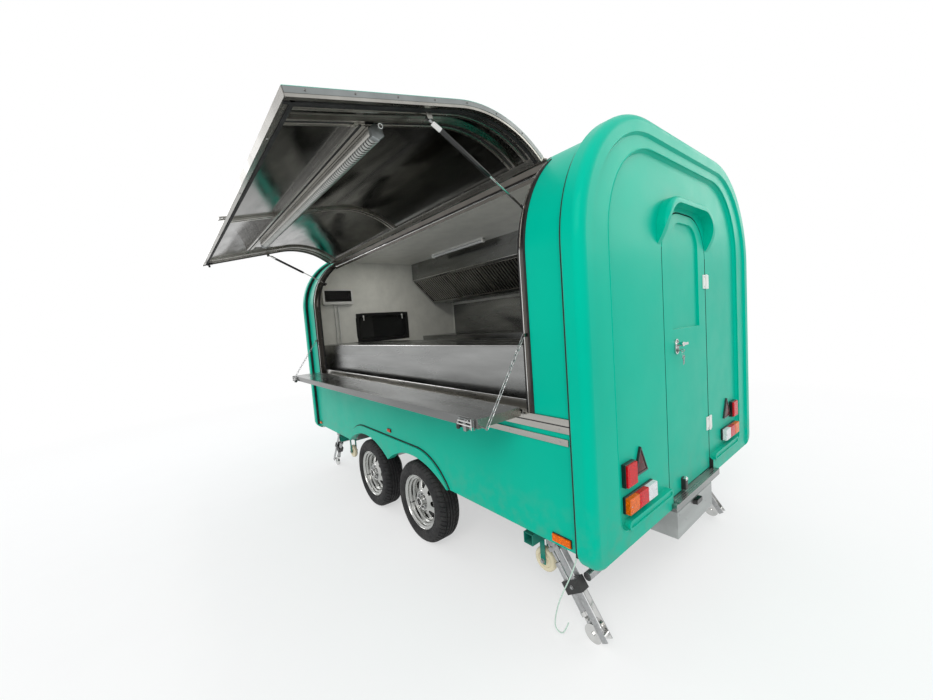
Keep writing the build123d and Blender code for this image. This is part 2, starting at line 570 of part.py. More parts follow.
def door():
    """Rear door with a pressed panel, its lock, latch and hinge halves."""
    inner_x = DOOR_X + DOOR_THICKNESS
    panel = arch((DOOR_X, inner_x), DOOR_HALF, DOOR_BOTTOM, DOOR_TOP, DOOR_RADIUS)
    pressing = arch((DOOR_X - 1, DOOR_X + PRESSING_DEPTH), PRESSING_HALF, PRESSING_BOTTOM, PRESSING_TOP,
                    PRESSING_RADIUS)
    parts["door_panel"] = panel - pressing
    lock_y, lock_z = 165, 1340
    plate = extrude(Plane.YZ.offset(DOOR_X - 9) * (Pos(lock_y, lock_z) * Rot(0, 0, 90) * SlotOverall(84, 44)),
                    amount=9)
    knob = rod((DOOR_X - 9, lock_y, lock_z + 14), (DOOR_X - 40, lock_y, lock_z + 14), 11)
    lever = block((DOOR_X - 44, DOOR_X - 32), (lock_y - 64, lock_y + 8), (lock_z + 6, lock_z + 22))
    key = block((DOOR_X - 30, DOOR_X - 9), (lock_y - 2, lock_y + 2), (lock_z - 30, lock_z - 14))
    parts["door_lock"] = plate + knob + lever + key
    hinge_far = DOOR_HINGE_Y + 44
    door_side, frame_side = None, None
    for z in DOOR_HINGES_Z:
        leaf = block((DOOR_X - 6, DOOR_X), (DOOR_HINGE_Y + 9, hinge_far), (z - 42, z + 42))
        leaf += block((DOOR_X - 6, DOOR_X - 2), (DOOR_HINGE_Y, DOOR_HINGE_Y + 10), (z - 14, z + 14))
        leaf += rod((DOOR_HINGE_X, DOOR_HINGE_Y, z - 14), (DOOR_HINGE_X, DOOR_HINGE_Y, z + 14), 7)
        fixed = block((DOOR_X - 6, DOOR_X), (DOOR_HINGE_Y - 44, DOOR_HINGE_Y - 9), (z - 42, z + 42))
        for low in (z - 42, z + 14.5):
            fixed += block((DOOR_X - 6, DOOR_X - 2), (DOOR_HINGE_Y - 10, DOOR_HINGE_Y), (low, low + 27.5))
            fixed += rod((DOOR_HINGE_X, DOOR_HINGE_Y, low), (DOOR_HINGE_X, DOOR_HINGE_Y, low + 27.5), 7)
        door_side = leaf if door_side is None else door_side + leaf
        frame_side = fixed if frame_side is None else frame_side + fixed
    parts["door_hinges"] = door_side
    parts["door_latch"] = block((DOOR_X - 26, DOOR_X), (115, 151), (DOOR_BOTTOM + 6, DOOR_BOTTOM + 76))
    parts["hinge_frames"] = frame_side


def rear_fittings():
    """Lamps, markers, number plate box, plate lamp and the stainless door sill."""
    face = DOOR_X
    tail = prism_yz([(564, 772), (694, 772), (629, 904)], (face - 16, face))
    tail += block((face - 30, face), (704, 797), (756, 861))
    tail += block((face - 36, face), (522, 797), (632, 706))
    y = BODY_HALF_WIDTH
    markers = None
    for x, z, half, high in ((-1638, 551, 52, 20), (-26, 762, 28, 14), (1660, 548, 28, 14)):
        amber = block((x - half, x + half), (y, y + 12), (z - high, z + high))
        pair = amber + other_side(amber)
        markers = pair if markers is None else markers + pair
    gland_x, gland_y, gland_z = WIRE_ROUTE[0]
    gland = rod((gland_x, gland_y, gland_z), (gland_x, gland_y, gland_z + WIRE_GROMMET), 8)
    parts["lamps"] = tail + other_side(tail) + markers + gland
    sheet = 4
    plate_x = -CAP_BACK
    box = block((plate_x, plate_x + 150), (-262, 262), (278, 430))
    box -= block((plate_x + sheet, plate_x + 151), (-262 + sheet, 262 - sheet), (277, 430 - sheet))
    box += block((plate_x + 100, plate_x + 140), (-220, 220), (426, RAIL_UNDER))
    for hole_y in (-150, 150):
        box -= rod((plate_x - 1, hole_y, 350), (plate_x + sheet + 1, hole_y, 350), 3.5)
    box += block((plate_x - 22, plate_x), (-40, 40), (400, 424))
    parts["plate_box"] = box
    sill = block((DOOR_X - 50, DOOR_X + 48), (-DOOR_HALF, DOOR_HALF), (DOOR_BOTTOM - DOOR_GAP, DOOR_BOTTOM - 3))
    sill += block((-CAP_BACK - 26, -CAP_BACK), (-DOOR_HALF - 30, DOOR_HALF + 30),
                  (CAP_BOTTOM + 2, DOOR_BOTTOM - DOOR_GAP))
    parts["door_sill"] = sill


def drawbar(grow=0):
    """The two sloping tubes of the A-frame; grow widens them into a cutter."""
    mid_z = PANEL_BOTTOM - RAIL_HEIGHT / 2
    tubes = [
        bar((DRAWBAR_ROOT_X, side * (RAIL_Y - 20), mid_z), (DRAWBAR_TIP_X, side * DRAWBAR_TIP_Y, mid_z),
            RAIL_WIDTH + grow, RAIL_HEIGHT + grow)
        for side in SIDES.values()]
    return tubes[0] + tubes[1]


def chassis():
    """Rails, cross members, outriggers, drawbar and castor forks: bars that stand a hair apart at their welds."""
    z = (RAIL_UNDER, PANEL_BOTTOM)
    mid_z = (z[0] + z[1]) / 2
    half_width = RAIL_WIDTH / 2
    gap = SEAT_GAP

    def rails(width):
        return [block(BODY_X, (y - width, y + width), z) for y in (-RAIL_Y, RAIL_Y)]

    bars = rails(half_width)
    beside_rails = rails(half_width + gap)
    beside_rails = beside_rails[0] + beside_rails[1]
    beside_tubes = drawbar(grow=2 * gap)
    bars.append(drawbar() - beside_rails - block((DRAWBAR_TIP_X - 24 - gap, FAR), (-FAR, FAR), z))
    for x in CROSS_X:
        bars.append(block((x - 30, x + 30), (-CROSS_REACH, CROSS_REACH), z) - beside_rails - beside_tubes)
    half = OUTRIGGER_SIZE / 2
    top = RAIL_UNDER - gap
    low = top - OUTRIGGER_SIZE
    fork_top = low - 8 - 2 * gap
    core_y = OUTRIGGER_REACH - 120
    for x in OUTRIGGER_X.values():
        bars.append(block((x - half, x + half), (-core_y, core_y), (low, top)))
        for side in SIDES.values():
            end_y = sorted((side * (core_y + gap), side * OUTRIGGER_REACH))
            tube = block((x - half, x + half), end_y, (low, top))
            tube -= block((x - half + TUBE_WALL, x + half - TUBE_WALL), end_y, (low + TUBE_WALL, top - TUBE_WALL))
            y = side * CASTOR_Y
            bars += [tube, block((x - 28, x + 28), (y - 34, y + 34), (low - 8 - gap, low - gap)),
                     rod((x, y - 24 + gap, CASTOR_Z), (x, y + 24 - gap, CASTOR_Z), CASTOR_AXLE)]
            for cheek in (-1, 1):
                face = sorted((y + cheek * 24, y + cheek * 30))
                bars.append(block((x - 16, x + 16), face, (CASTOR_Z - 18, fork_top)))
    bars.append(block((DRAWBAR_TIP_X - 160, DRAWBAR_TIP_X), (-90, 90), (z[1] + gap, z[1] + gap + 8)))
    bars.append(block((DRAWBAR_TIP_X - 24, DRAWBAR_TIP_X), (-76, 76), z))
    bars.append(block((JOCKEY_X - 95, JOCKEY_X - 45), (-190, 190), (mid_z - 25, mid_z + 25)) - beside_tubes)
    parts["chassis"] = Compound([solid for piece in bars for solid in piece.solids()])


def castor_wheels():
    """Small solid wheels under the outriggers, which keep the corners off a ramp."""
    tread = Cylinder(CASTOR_RADIUS, CASTOR_WIDTH) - Cylinder(CASTOR_AXLE + 0.1, CASTOR_WIDTH + 4)
    for face in (-1, 1):
        tread -= Pos(0, 0, face * CASTOR_WIDTH / 2) * (Cylinder(42, 14) - Cylinder(20, 16))
    for end, x in OUTRIGGER_X.items():
        for side, sign in SIDES.items():
            parts[f"castor_{end}_{side}"] = Pos(x, sign * CASTOR_Y, CASTOR_Z) * Rot(90, 0, 0) * tread


def axles():
    """Beams with trailing arms, hubs and stubs; the wheels turn on the stubs."""
    both = None
    for x in AXLE_X.values():
        beam_x, beam_z = x + 120, 372
        beam = block((beam_x - 32, beam_x + 32), (-800, 800), (beam_z - 32, beam_z + 32))
        for side in (1, -1):
            y = side * RAIL_Y
            beam += block((beam_x - 60, beam_x + 60), (y - 45, y + 45), (beam_z + 32, RAIL_UNDER))
            arm_y = side * 815
            beam += bar((beam_x, arm_y, beam_z), (x, arm_y, TYRE_RADIUS), 40, 60)
            beam += rod((x, arm_y - side * 20, TYRE_RADIUS), (x, side * 862, TYRE_RADIUS), 110)
            beam += rod((x, side * 862, TYRE_RADIUS), (x, side * (WHEEL_Y + 46), TYRE_RADIUS), STUB_RADIUS)
        both = beam if both is None else both + beam
    parts["axles"] = both


def wheels():
    """Tyre and eight-spoke rim, drawn on the Z axis with the outside up, then set in place."""
    half = TYRE_WIDTH / 2
    rim_half = RIM_WIDTH_Y / 2
    tyre_outline = Polygon(
        (RIM_SEAT_RADIUS + 0.3, -rim_half + 13), (RIM_FLANGE_RADIUS + 2, -rim_half + 5),
        (RIM_FLANGE_RADIUS + 6, -half + 6), (TYRE_RADIUS - 40, -half),
        (TYRE_RADIUS - 8, -half + 18), (TYRE_RADIUS, -half + 34), (TYRE_RADIUS, half - 34),
        (TYRE_RADIUS - 8, half - 18), (TYRE_RADIUS - 40, half),
        (RIM_FLANGE_RADIUS + 6, half - 6), (RIM_FLANGE_RADIUS + 2, rim_half - 5),
        (RIM_SEAT_RADIUS + 0.3, rim_half - 13), align=None)
    tyre = revolve(Plane.XZ * tyre_outline, Axis.Z)
    barrel_outline = Polygon(
        (RIM_SEAT_RADIUS, -rim_half + 12), (RIM_FLANGE_RADIUS, -rim_half + 4), (RIM_FLANGE_RADIUS, -rim_half),
        (RIM_SEAT_RADIUS - 8, -rim_half + 4), (RIM_SEAT_RADIUS - 26, -20), (RIM_SEAT_RADIUS - 26, 24),
        (RIM_SEAT_RADIUS - 8, rim_half - 4), (RIM_FLANGE_RADIUS, rim_half), (RIM_FLANGE_RADIUS, rim_half - 4),
        (RIM_SEAT_RADIUS, rim_half - 12), (RIM_SEAT_RADIUS - 18, 30), (RIM_SEAT_RADIUS - 18, -24), align=None)
    barrel = revolve(Plane.XZ * barrel_outline, Axis.Z)
    disc_outline = Polygon(
        (STUB_RADIUS + 0.1, 30), (STUB_RADIUS + 0.1, 44), (70, 44), (84, 38), (RIM_SEAT_RADIUS - 22, 14),
        (RIM_SEAT_RADIUS - 22, 6), (80, 30), (66, 36), (66, 30), align=None)
    disc = revolve(Plane.XZ * disc_outline, Axis.Z)
    window = Polygon((88, -11), (88, 11), (RIM_SEAT_RADIUS - 34, 36), (RIM_SEAT_RADIUS - 34, -36), align=None)
    for i in range(SPOKES):
        disc -= Rot(0, 0, 360 / SPOKES * i) * extrude(window, amount=80)
    cap = Pos(0, 0, 44) * (Cylinder(38, 34, align=LOW) - Cylinder(STUB_RADIUS + 3, 12, align=LOW))
    cap = chamfer(cap.edges().sort_by(Axis.Z)[-1], 6)
    rim = barrel + disc + cap
    for end, x in AXLE_X.items():
        for side, sign in SIDES.items():
            place = Pos(x, sign * WHEEL_Y, TYRE_RADIUS) * Rot(-90 * sign, 0, 0)
            parts[f"tyre_{end}_{side}"] = place * tyre
            parts[f"rim_{end}_{side}"] = place * rim


def leg(sign, y):
    """One steady: twin flat bars, and beside them a sleeved rod down to a round foot."""
    pivot = Vector(sign * LEG_PIVOT_X, y, LEG_PIVOT_Z)
    tip = Vector(sign * LEG_TIP_X, y, LEG_TIP_Z)
    down = (tip - pivot).normalized()
    aside = Vector(0, sign, 0).cross(down) * LEG_SIDE_GAP
    length = (tip - pivot).length
    across = Rot(90, 0, 0)

    def beside(share):
        return pivot + aside + down * (length * share)

    shape = None
    for offset in (-LEG_BAR_GAP, LEG_BAR_GAP):
        lift = Vector(0, offset, 0)
        cheek = bar(pivot + lift, tip + lift, 5, 32) + Pos(pivot + lift) * across * Cylinder(16, 5)
        cheek -= Pos(pivot + lift) * across * Cylinder(8.1, 7)
        shape = cheek if shape is None else shape + cheek
    foot = Vector(sign * LEG_FOOT_X, y, LEG_FOOT_RADIUS)
    sleeve_end = 0.74
    shape += rod(beside(0.06), beside(0.24), 8)
    shape += rod(beside(0.22), beside(sleeve_end), 17)
    shape += rod(beside(sleeve_end), foot, 10)
    shape += Pos(foot) * across * Cylinder(LEG_FOOT_RADIUS, 22)
    link = tip - down * 22
    side = Vector(0, LEG_BAR_GAP, 0)
    shape += rod(foot, link, 8) + rod(link - side, link + side, 11)
    mid = aside * 0.42
    clamp = bar(pivot + mid + down * (length * 0.40), pivot + mid + down * (length * 0.53), 54, 106)
    upper = bar(pivot + mid + down * (length * 0.06), pivot + mid + down * (length * 0.10), 35, 80)
    return shape + clamp + upper


def corner_steadies():
    """Fold-down legs at the corners, their pivots, and the round tubes they lock on."""
    mounts = None
    for (end, side), y in LEG_PLACES.items():
        parts[f"leg_{end}_{side}"] = leg(ENDS[end], y)
        x = ENDS[end] * LEG_PIVOT_X
        mount = rod((x, y - 40, LEG_PIVOT_Z), (x, y + 40, LEG_PIVOT_Z), 8)
        for offset in (-38, 32):
            mount += block((x - 24, x + 24), (y + offset, y + offset + 6), (LEG_PIVOT_Z - 20, PANEL_BOTTOM - 8))
        mount += block((x - 40, x + 40), (y - 44, y + 44), (PANEL_BOTTOM - 8, PANEL_BOTTOM))
        mounts = mount if mounts is None else mounts + mount
    for end, sign in ENDS.items():
        reach = sorted(LEG_PLACES[(end, side)] for side in SIDES)
        x = sign * LEG_TUBE_X
        mounts += rod((x, reach[0] + 33, LEG_TUBE_Z), (x, reach[1] - 33, LEG_TUBE_Z), LEG_TUBE_RADIUS)
        for y in (-600, 600):
            strap = bar((x, y, LEG_TUBE_Z), (sign * CROSS_X[-1], y, RAIL_UNDER + 30), 8, 40)
            mounts += strap & block((-FAR, FAR), (-FAR, FAR), (0, RAIL_UNDER))
    parts["leg_mounts"] = mounts


def loose_wire():
    """Lamp wire that hangs out of its grommet, straight runs joined by wide arcs."""
    points = [Vector(*corner) for corner in WIRE_ROUTE]
    runs = [b - a for a, b in zip(points, points[1:])]
    radii = []
    for first, second in zip(runs, runs[1:]):
        half_turn = radians(first.get_angle(second)) / 2
        radii.append(0.45 * min(first.length, second.length) / tan(half_turn))
    path = FilletPolyline(*points, radius=radii)
    wire = sweep(Plane(origin=points[0], z_dir=runs[0]) * Circle(WIRE_RADIUS), path)
    print("wire radii", [round(r) for r in radii], "length", round(path.length),
          "volume share", round(wire.volume / (pi * WIRE_RADIUS ** 2 * path.length), 4))
    parts["loose_wire"] = wire


def drawbar_gear():
    """Ball coupling at the tip and the jockey wheel in its clamp."""
    z = (RAIL_UNDER, PANEL_BOTTOM)
    neck = block((DRAWBAR_TIP_X, BALL_X - 10), (-34, 34), (z[0] + 8, z[1] - 4))
    head = Pos(BALL_X, 0, z[0] + 20) * (Sphere(46) - Sphere(BALL_RADIUS + 0.4))
    head -= block((BALL_X - 60, BALL_X + 60), (-60, 60), (z[0] - 60, z[0] + 6))
    neck -= Pos(BALL_X, 0, z[0] + 20) * Sphere(40)
    handle = bar((BALL_X - 80, 0, z[1] + 2), (BALL_X + 20, 0, z[1] + 44), 26, 14)
    parts["coupling_head"] = neck + head + handle
    outer = Pos(JOCKEY_X, 0, 0)
    mid_z = (z[0] + z[1]) / 2
    sleeve = outer * Pos(0, 0, 430) * Cylinder(30, 330, align=LOW)
    sleeve -= outer * Pos(0, 0, 429) * Cylinder(25.1, 310, align=LOW)
    clamp = block((JOCKEY_X - 45, JOCKEY_X), (-42, 42), (mid_z - 25, mid_z + 25))
    clamp -= outer * Pos(0, 0, mid_z - 40) * Cylinder(28, 100, align=LOW)
    crank = outer * Pos(0, 0, 760) * Cylinder(10, 20, align=LOW)
    crank += block((JOCKEY_X - 8, JOCKEY_X + 120), (-8, 8), (776, 786))
    crank += rod((JOCKEY_X + 112, 0, 786), (JOCKEY_X + 112, 0, 866), 12)
    parts["jockey_clamp"] = sleeve + clamp + crank
    hub_x = JOCKEY_X - JOCKEY_TRAIL
    stem = outer * Pos(0, 0, 236) * Cylinder(25, 304, align=LOW)
    yoke = block((JOCKEY_X - 75, JOCKEY_X + 30), (-42, 42), (226, 236))
    for side in (1, -1):
        inner, outer_y = sorted((side * 34, side * 42))
        yoke += block((hub_x - 20, hub_x + 20), (inner, outer_y), (JOCKEY_RADIUS - 20, 236))
    yoke += rod((hub_x, -42, JOCKEY_RADIUS), (hub_x, 42, JOCKEY_RADIUS), 9.9)
    parts["jockey_stem"] = stem + yoke
    wheel = Cylinder(JOCKEY_RADIUS, 56) - Cylinder(10, 60)
    for side in (1, -1):
        wheel -= Pos(0, 0, side * 24) * (Cylinder(68, 12) - Cylinder(24, 14))
    parts["jockey_wheel"] = Pos(hub_x, 0, JOCKEY_RADIUS) * Rot(90, 0, 0) * wheel


def interior():
    """Benches, hood with its filters, splashback, ceiling light and fuse box."""
    clear = 2
    wells = block((-FAR, FAR), (BODY_HALF_WIDTH - TYRE_WIDTH - 47 - clear, FAR), (0, ARCH_TOP + 15 + clear))
    x = BENCH_X
    front = block(x, (BENCH_BACK_Y, BENCH_EDGE_Y), (FLOOR_TOP, BENCH_TOP)) - wells
    front -= block((x[0] - 1, x[1] + 1), (BENCH_BACK_Y - 1, BENCH_BACK_Y + 50), (FLOOR_TOP - 1, FLOOR_TOP + 90))
    parts["bench_left"] = front
    right = block(x, (-INNER_Y + 1, -430), (FLOOR_TOP, BENCH_TOP)) - other_side(wells)
    right -= block((x[0] - 1, x[1] + 1), (-480, -429), (FLOOR_TOP - 1, FLOOR_TOP + 90))
    right += block((HOOD_X[0], x[1]), (-INNER_Y + 1, -INNER_Y + 6), (BENCH_TOP, ARC_Z))
    parts["bench_right"] = right
    back = block(HOOD_X, (-INNER_Y, HOOD_FACE_Y), (HOOD_LOW_Z, ROOF_TOP - WALL - 0.5))
    back = back & body_arch((-FAR, FAR), WALL + 0.5)
    run = (HOOD_LOW_Y - HOOD_FACE_Y, HOOD_LOW_Z - HOOD_LIP_Z)
    length = hypot(*run)
    back -= prism_yz([(HOOD_FACE_Y + 1, HOOD_LIP_Z), (HOOD_FACE_Y, HOOD_LIP_Z), (HOOD_LOW_Y, HOOD_LOW_Z),
                      (HOOD_LOW_Y, HOOD_LOW_Z - 1), (HOOD_FACE_Y + 1, HOOD_LOW_Z - 1)], (-FAR, FAR))
    angle = degrees(atan2(run[1], run[0]))
    slope = Pos(0, HOOD_FACE_Y, HOOD_LIP_Z) * Rot(angle, 0, 0)
    pocket = Pos((HOOD_X[0] + HOOD_X[1]) / 2, length / 2, 0) * Box(HOOD_X[1] - HOOD_X[0] - 60, length - 60, 60)
    parts["hood"] = back - slope * pocket
    bank = Pos((HOOD_X[0] + HOOD_X[1]) / 2, length / 2, -26) * Box(HOOD_X[1] - HOOD_X[0] - 62, length - 62, 6)
    slats = bank
    count = int((HOOD_X[1] - HOOD_X[0] - 80) // SLAT_PITCH)
    first = (HOOD_X[0] + HOOD_X[1]) / 2 - (count - 1) * SLAT_PITCH / 2
    for i in range(count):
        slats += Pos(first + i * SLAT_PITCH, length / 2, -14) * Box(SLAT_PITCH * 0.55, length - 90, 20)
    parts["hood_filters"] = slope * slats
    roof_z = ROOF_TOP - WALL
    parts["ceiling_light"] = block((100, 1000), (-240, -180), (roof_z - 30, roof_z))
    wall_x = BODY_HALF_LENGTH
    box = block((wall_x - 60, wall_x), (INNER_Y - 475, INNER_Y - 115), (1880, 2060))
    box += block((wall_x - 20, wall_x), (700, 712), (BENCH_TOP, 1880))
    parts["fuse_box"] = box


def build():
    body_panels()
    fenders()
    opening_trim()
    hatch()
    gas_struts()
    chains(*shelf())
    rear_cap()
    front_cap()
    door()
    rear_fittings()
    chassis()
    castor_wheels()
    axles()
    wheels()
    corner_steadies()
    loose_wire()
    drawbar_gear()
    interior()


build()
bounds = Compound(children=[solid for shape in parts.values() for solid in shape.solids()]).bounding_box()
origin = (bounds.center().X, bounds.center().Y)
os.makedirs("parts", exist_ok=True)
for name, shape in parts.items():
    export_step(Pos(-origin[0], -origin[1], 0) * shape, f"parts/{name}.step")
print("origin", origin, "from", bounds.min, "to", bounds.max)
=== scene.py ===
"""Dresses the food trailer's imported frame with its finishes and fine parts, in a plain studio."""

import json
import math

import bmesh
import bpy
from bpy.props import FloatProperty, FloatVectorProperty, IntProperty, PointerProperty
from mathutils import Matrix, Vector


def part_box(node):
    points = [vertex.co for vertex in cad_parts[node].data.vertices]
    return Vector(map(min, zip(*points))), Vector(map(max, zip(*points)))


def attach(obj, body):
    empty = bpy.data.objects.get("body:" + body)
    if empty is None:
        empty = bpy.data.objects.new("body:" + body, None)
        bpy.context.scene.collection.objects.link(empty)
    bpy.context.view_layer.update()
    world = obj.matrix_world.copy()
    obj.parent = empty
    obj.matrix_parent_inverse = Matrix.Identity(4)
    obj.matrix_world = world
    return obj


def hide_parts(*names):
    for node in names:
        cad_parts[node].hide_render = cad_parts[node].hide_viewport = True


bl_info = {
    "name": "Food Trailer",
    "version": (1, 1, 0),
    "blender": (4, 5, 0),
    "location": "View3D > Sidebar > Trailer",
    "description": "Finishes and fine parts of a tandem axle food trailer",
    "category": "Object",
}

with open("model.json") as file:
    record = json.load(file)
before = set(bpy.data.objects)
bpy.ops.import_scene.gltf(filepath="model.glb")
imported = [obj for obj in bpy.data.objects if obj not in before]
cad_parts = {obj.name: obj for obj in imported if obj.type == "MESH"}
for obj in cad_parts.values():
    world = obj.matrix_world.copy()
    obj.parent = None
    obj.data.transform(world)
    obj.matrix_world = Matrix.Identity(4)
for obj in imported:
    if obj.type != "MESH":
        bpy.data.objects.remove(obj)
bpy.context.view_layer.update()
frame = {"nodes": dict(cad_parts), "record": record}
NODE_BODY = {n: body for body, nodes in frame["record"]["behaviour"]["bodies"].items() for n in nodes}
NODE_SLOT = {row["node"]: row["material_slot"] for row in frame["record"]["subparts"]}

# The body's middle in the frame, and its driving sizes in metres
ROOF_LOW, ROOF_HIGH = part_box("roof_panel")
BODY_X = (ROOF_LOW.x + ROOF_HIGH.x) / 2
BODY_Y = (ROOF_LOW.y + ROOF_HIGH.y) / 2
HALF_LENGTH = 1.732
HALF_WIDTH = 1.05
ROOF_TOP = 2.43
CORNER_RADIUS = 0.6
ARC_Y = HALF_WIDTH - CORNER_RADIUS
ARC_Z = ROOF_TOP - CORNER_RADIUS
WALL = 0.045
INNER_Y = HALF_WIDTH - WALL
PANEL_BOTTOM = 0.515
CAP_BACK = 1.814
RECESS_X = 1.794
DOOR_HALF = 0.3
DOOR_BOTTOM = 0.512
DOOR_TOP = 2.07
DOOR_RADIUS = 0.23
RAIL_BOTTOM = 1.05
RAIL_TOP = 1.115
OPENING_HALF = 1.513
JAMB_SHEET = 0.026
LIP_HALF = 1.44
HATCH_HALF = 1.482
HATCH_LOW = 1.147
HATCH_OPEN = math.radians(76)
RIB_X = (1.418, 1.313, -0.03, -1.313, -1.418)
RIB_HALF = 0.021
RIB_FACE = HALF_WIDTH - 0.036
BEAM_X = (-1.32, 1.0)
BEAM_Z = 1.46
LIGHT_X = (-1.34, 0.70)
STRUT_X = 1.424
STRUT_TOP = (1.002, 1.700)
STRUT_FOOT = (0.925, 2.085)
STRUT_TUBE = 0.35
HINGE_ANGLE = 54
HINGE_Y = ARC_Y + 0.609 * math.cos(math.radians(HINGE_ANGLE))
HINGE_Z = ARC_Z + 0.609 * math.sin(math.radians(HINGE_ANGLE))
SHELF_HALF = 1.455
SHELF_TOP = 1.14
SHELF_LOW = 1.098
SHELF_Y = (1.074, 1.342)
CHAIN_X = 1.498
CHAIN_TOP = (1.068, 1.480)
CHAIN_EYE = (1.330, 1.106)
CHAIN_LINKS = 17
CHAIN_HOLE = 0.0045
AXLES = {"front": 0.408, "rear": -0.368}
ENDS = {"rear": -1, "front": 1}
SIDES = {"left": 1, "right": -1}
WHEEL_Y = 0.9625
TYRE_RADIUS = 0.292
OUTRIGGER_X = {"rear": -1.38, "front": 1.25}
CASTOR_Y, CASTOR_Z = 0.865, 0.255
LEG_PIVOT = (1.48, 0.425)
LEG_TIP = (1.75, 0.047)
LEG_ASIDE = 0.057
LEG_Y = {
    ("rear", "left"): 0.905, ("rear", "right"): -0.665, ("front", "left"): 0.905, ("front", "right"): -0.905}
JOCKEY_HUB = (2.445, 0.1)
BENCH_TOP = 1.42
BENCH_X = (-1.69, 1.70)
HOOD_LIP = (-0.33, 2.17)
HOOD_LOW = (-0.65, 1.86)
HOOD_X = (-0.90, 1.69)
CAMERA_PLACE = (-2.645, 2.34, 1.556)
CAMERA_YAW, CAMERA_PITCH, CAMERA_ROLL = (math.radians(a) for a in (-39.0376, 4.2118, -4.2251))
CAMERA_LENS = 36 * 369.62 / 933

# Loose lamp wire: the corners of its route, and its radius
WIRE_ROUTE = (
    (-1.674, 1.000, 0.503), (-1.674, 1.000, 0.458), (-1.650, 1.001, 0.388), (-1.621, 1.003, 0.319),
    (-1.589, 1.006, 0.250), (-1.560, 1.007, 0.180), (-1.539, 1.006, 0.110), (-1.530, 1.004, 0.070),
    (-1.527, 1.002, 0.040), (-1.541, 1.000, 0.023), (-1.563, 0.998, 0.023), (-1.577, 0.997, 0.040),
    (-1.593, 0.997, 0.072), (-1.606, 0.998, 0.103))
WIRE_RADIUS = 0.003

# Directions in the frame, and the radius of a turned outline's ends on its axis
AHEAD, BACK = (1, 0, 0), (-1, 0, 0)
LEFT, RIGHT = (0, 1, 0), (0, -1, 0)
UP, DOWN = (0, 0, 1), (0, 0, -1)
ON_AXIS = 0.0001


def at(x, y, z):
    """Point of the body's own axes, in the frame."""
    return Vector((x + BODY_X, y + BODY_Y, z))


SHUT_TO_OPEN = (
    Matrix.Translation(at(0, HINGE_Y, HINGE_Z))
    @ Matrix.Rotation(HATCH_OPEN, 4, "X")
    @ Matrix.Translation(-at(0, HINGE_Y, HINGE_Z)))
OPEN_TO_SHUT = SHUT_TO_OPEN.inverted()


# Finishes

class Finish:
    """A material as it is mixed: noise in object space drives its colour, roughness and relief."""

    def __init__(self, name, **constants):
        self.material = bpy.data.materials.new(name)
        self.material.use_nodes = True
        tree = self.material.node_tree
        self.nodes, self.links = tree.nodes, tree.links
        self.shader = self.nodes["Principled BSDF"]
        self.place = self.nodes.new("ShaderNodeTexCoord").outputs["Object"]
        for socket, value in constants.items():
            self.set(socket.replace("_", " "), value)

    def set(self, socket, value):
        self.shader.inputs[socket].default_value = value

    def stretched(self, scale):
        node = self.nodes.new("ShaderNodeMapping")
        node.inputs["Scale"].default_value = scale
        self.links.new(self.place, node.inputs["Vector"])
        return node.outputs["Vector"]

    def noise(self, scale, detail=3.0, stretch=None):
        node = self.nodes.new("ShaderNodeTexNoise")
        node.inputs["Scale"].default_value = scale
        node.inputs["Detail"].default_value = detail
        self.links.new(self.stretched(stretch) if stretch else self.place, node.inputs["Vector"])
        return node.outputs["Fac"]

    def cloud(self, scale, detail, low, high, first=0.0, last=1.0, stretch=None):
        """Noise spread from one value to another, where it lies between low and high."""
        return self.between(self.noise(scale, detail, stretch), low, high, first, last)

    def cells(self, scale):
        node = self.nodes.new("ShaderNodeTexVoronoi")
        node.inputs["Scale"].default_value = scale
        node.feature = "DISTANCE_TO_EDGE"
        self.links.new(self.place, node.inputs["Vector"])
        return node.outputs["Distance"]

    def low_down(self, bottom, top):
        """1 at the bottom height and below, 0 at the top one and above."""
        split = self.nodes.new("ShaderNodeSeparateXYZ")
        self.links.new(self.place, split.inputs[0])
        return self.between(split.outputs["Z"], bottom, top, 1.0, 0.0)

    def between(self, factor, low, high, first, last):
        node = self.nodes.new("ShaderNodeMapRange")
        for socket, value in (("From Min", low), ("From Max", high), ("To Min", first), ("To Max", last)):
            node.inputs[socket].default_value = value
        self.links.new(factor, node.inputs["Value"])
        return node.outputs["Result"]

    def times(self, a, b):
        node = self.nodes.new("ShaderNodeMath")
        node.operation = "MULTIPLY"
        self.links.new(a, node.inputs[0])
        self.links.new(b, node.inputs[1])
        return node.outputs[0]

    def mixed(self, factor, first, second):
        node = self.nodes.new("ShaderNodeMix")
        node.data_type = "RGBA"
        self.links.new(factor, node.inputs["Factor"])
        for socket, value in (("A", first), ("B", second)):
            target = [s for s in node.inputs if s.name == socket and s.type == "RGBA"][0]
            if isinstance(value, tuple):
                target.default_value = (*value, 1.0)
            else:
                self.links.new(value, target)
        return [s for s in node.outputs if s.type == "RGBA"][0]

    def colour(self, output):
        self.links.new(output, self.shader.inputs["Base Color"])
        return self

    def roughness(self, output):
        self.links.new(output, self.shader.inputs["Roughness"])
        return self

    def bump(self, height, strength, distance=0.001):
        node = self.nodes.new("ShaderNodeBump")
        node.inputs["Strength"].default_value = strength
        node.inputs["Distance"].default_value = distance
        self.links.new(height, node.inputs["Height"])
        if self.shader.inputs["Normal"].is_linked:
            self.links.new(self.shader.inputs["Normal"].links[0].from_socket, node.inputs["Normal"])
        self.links.new(node.outputs["Normal"], self.shader.inputs["Normal"])
        return self


def darker(colour, share):
    return tuple(c * share for c in colour)


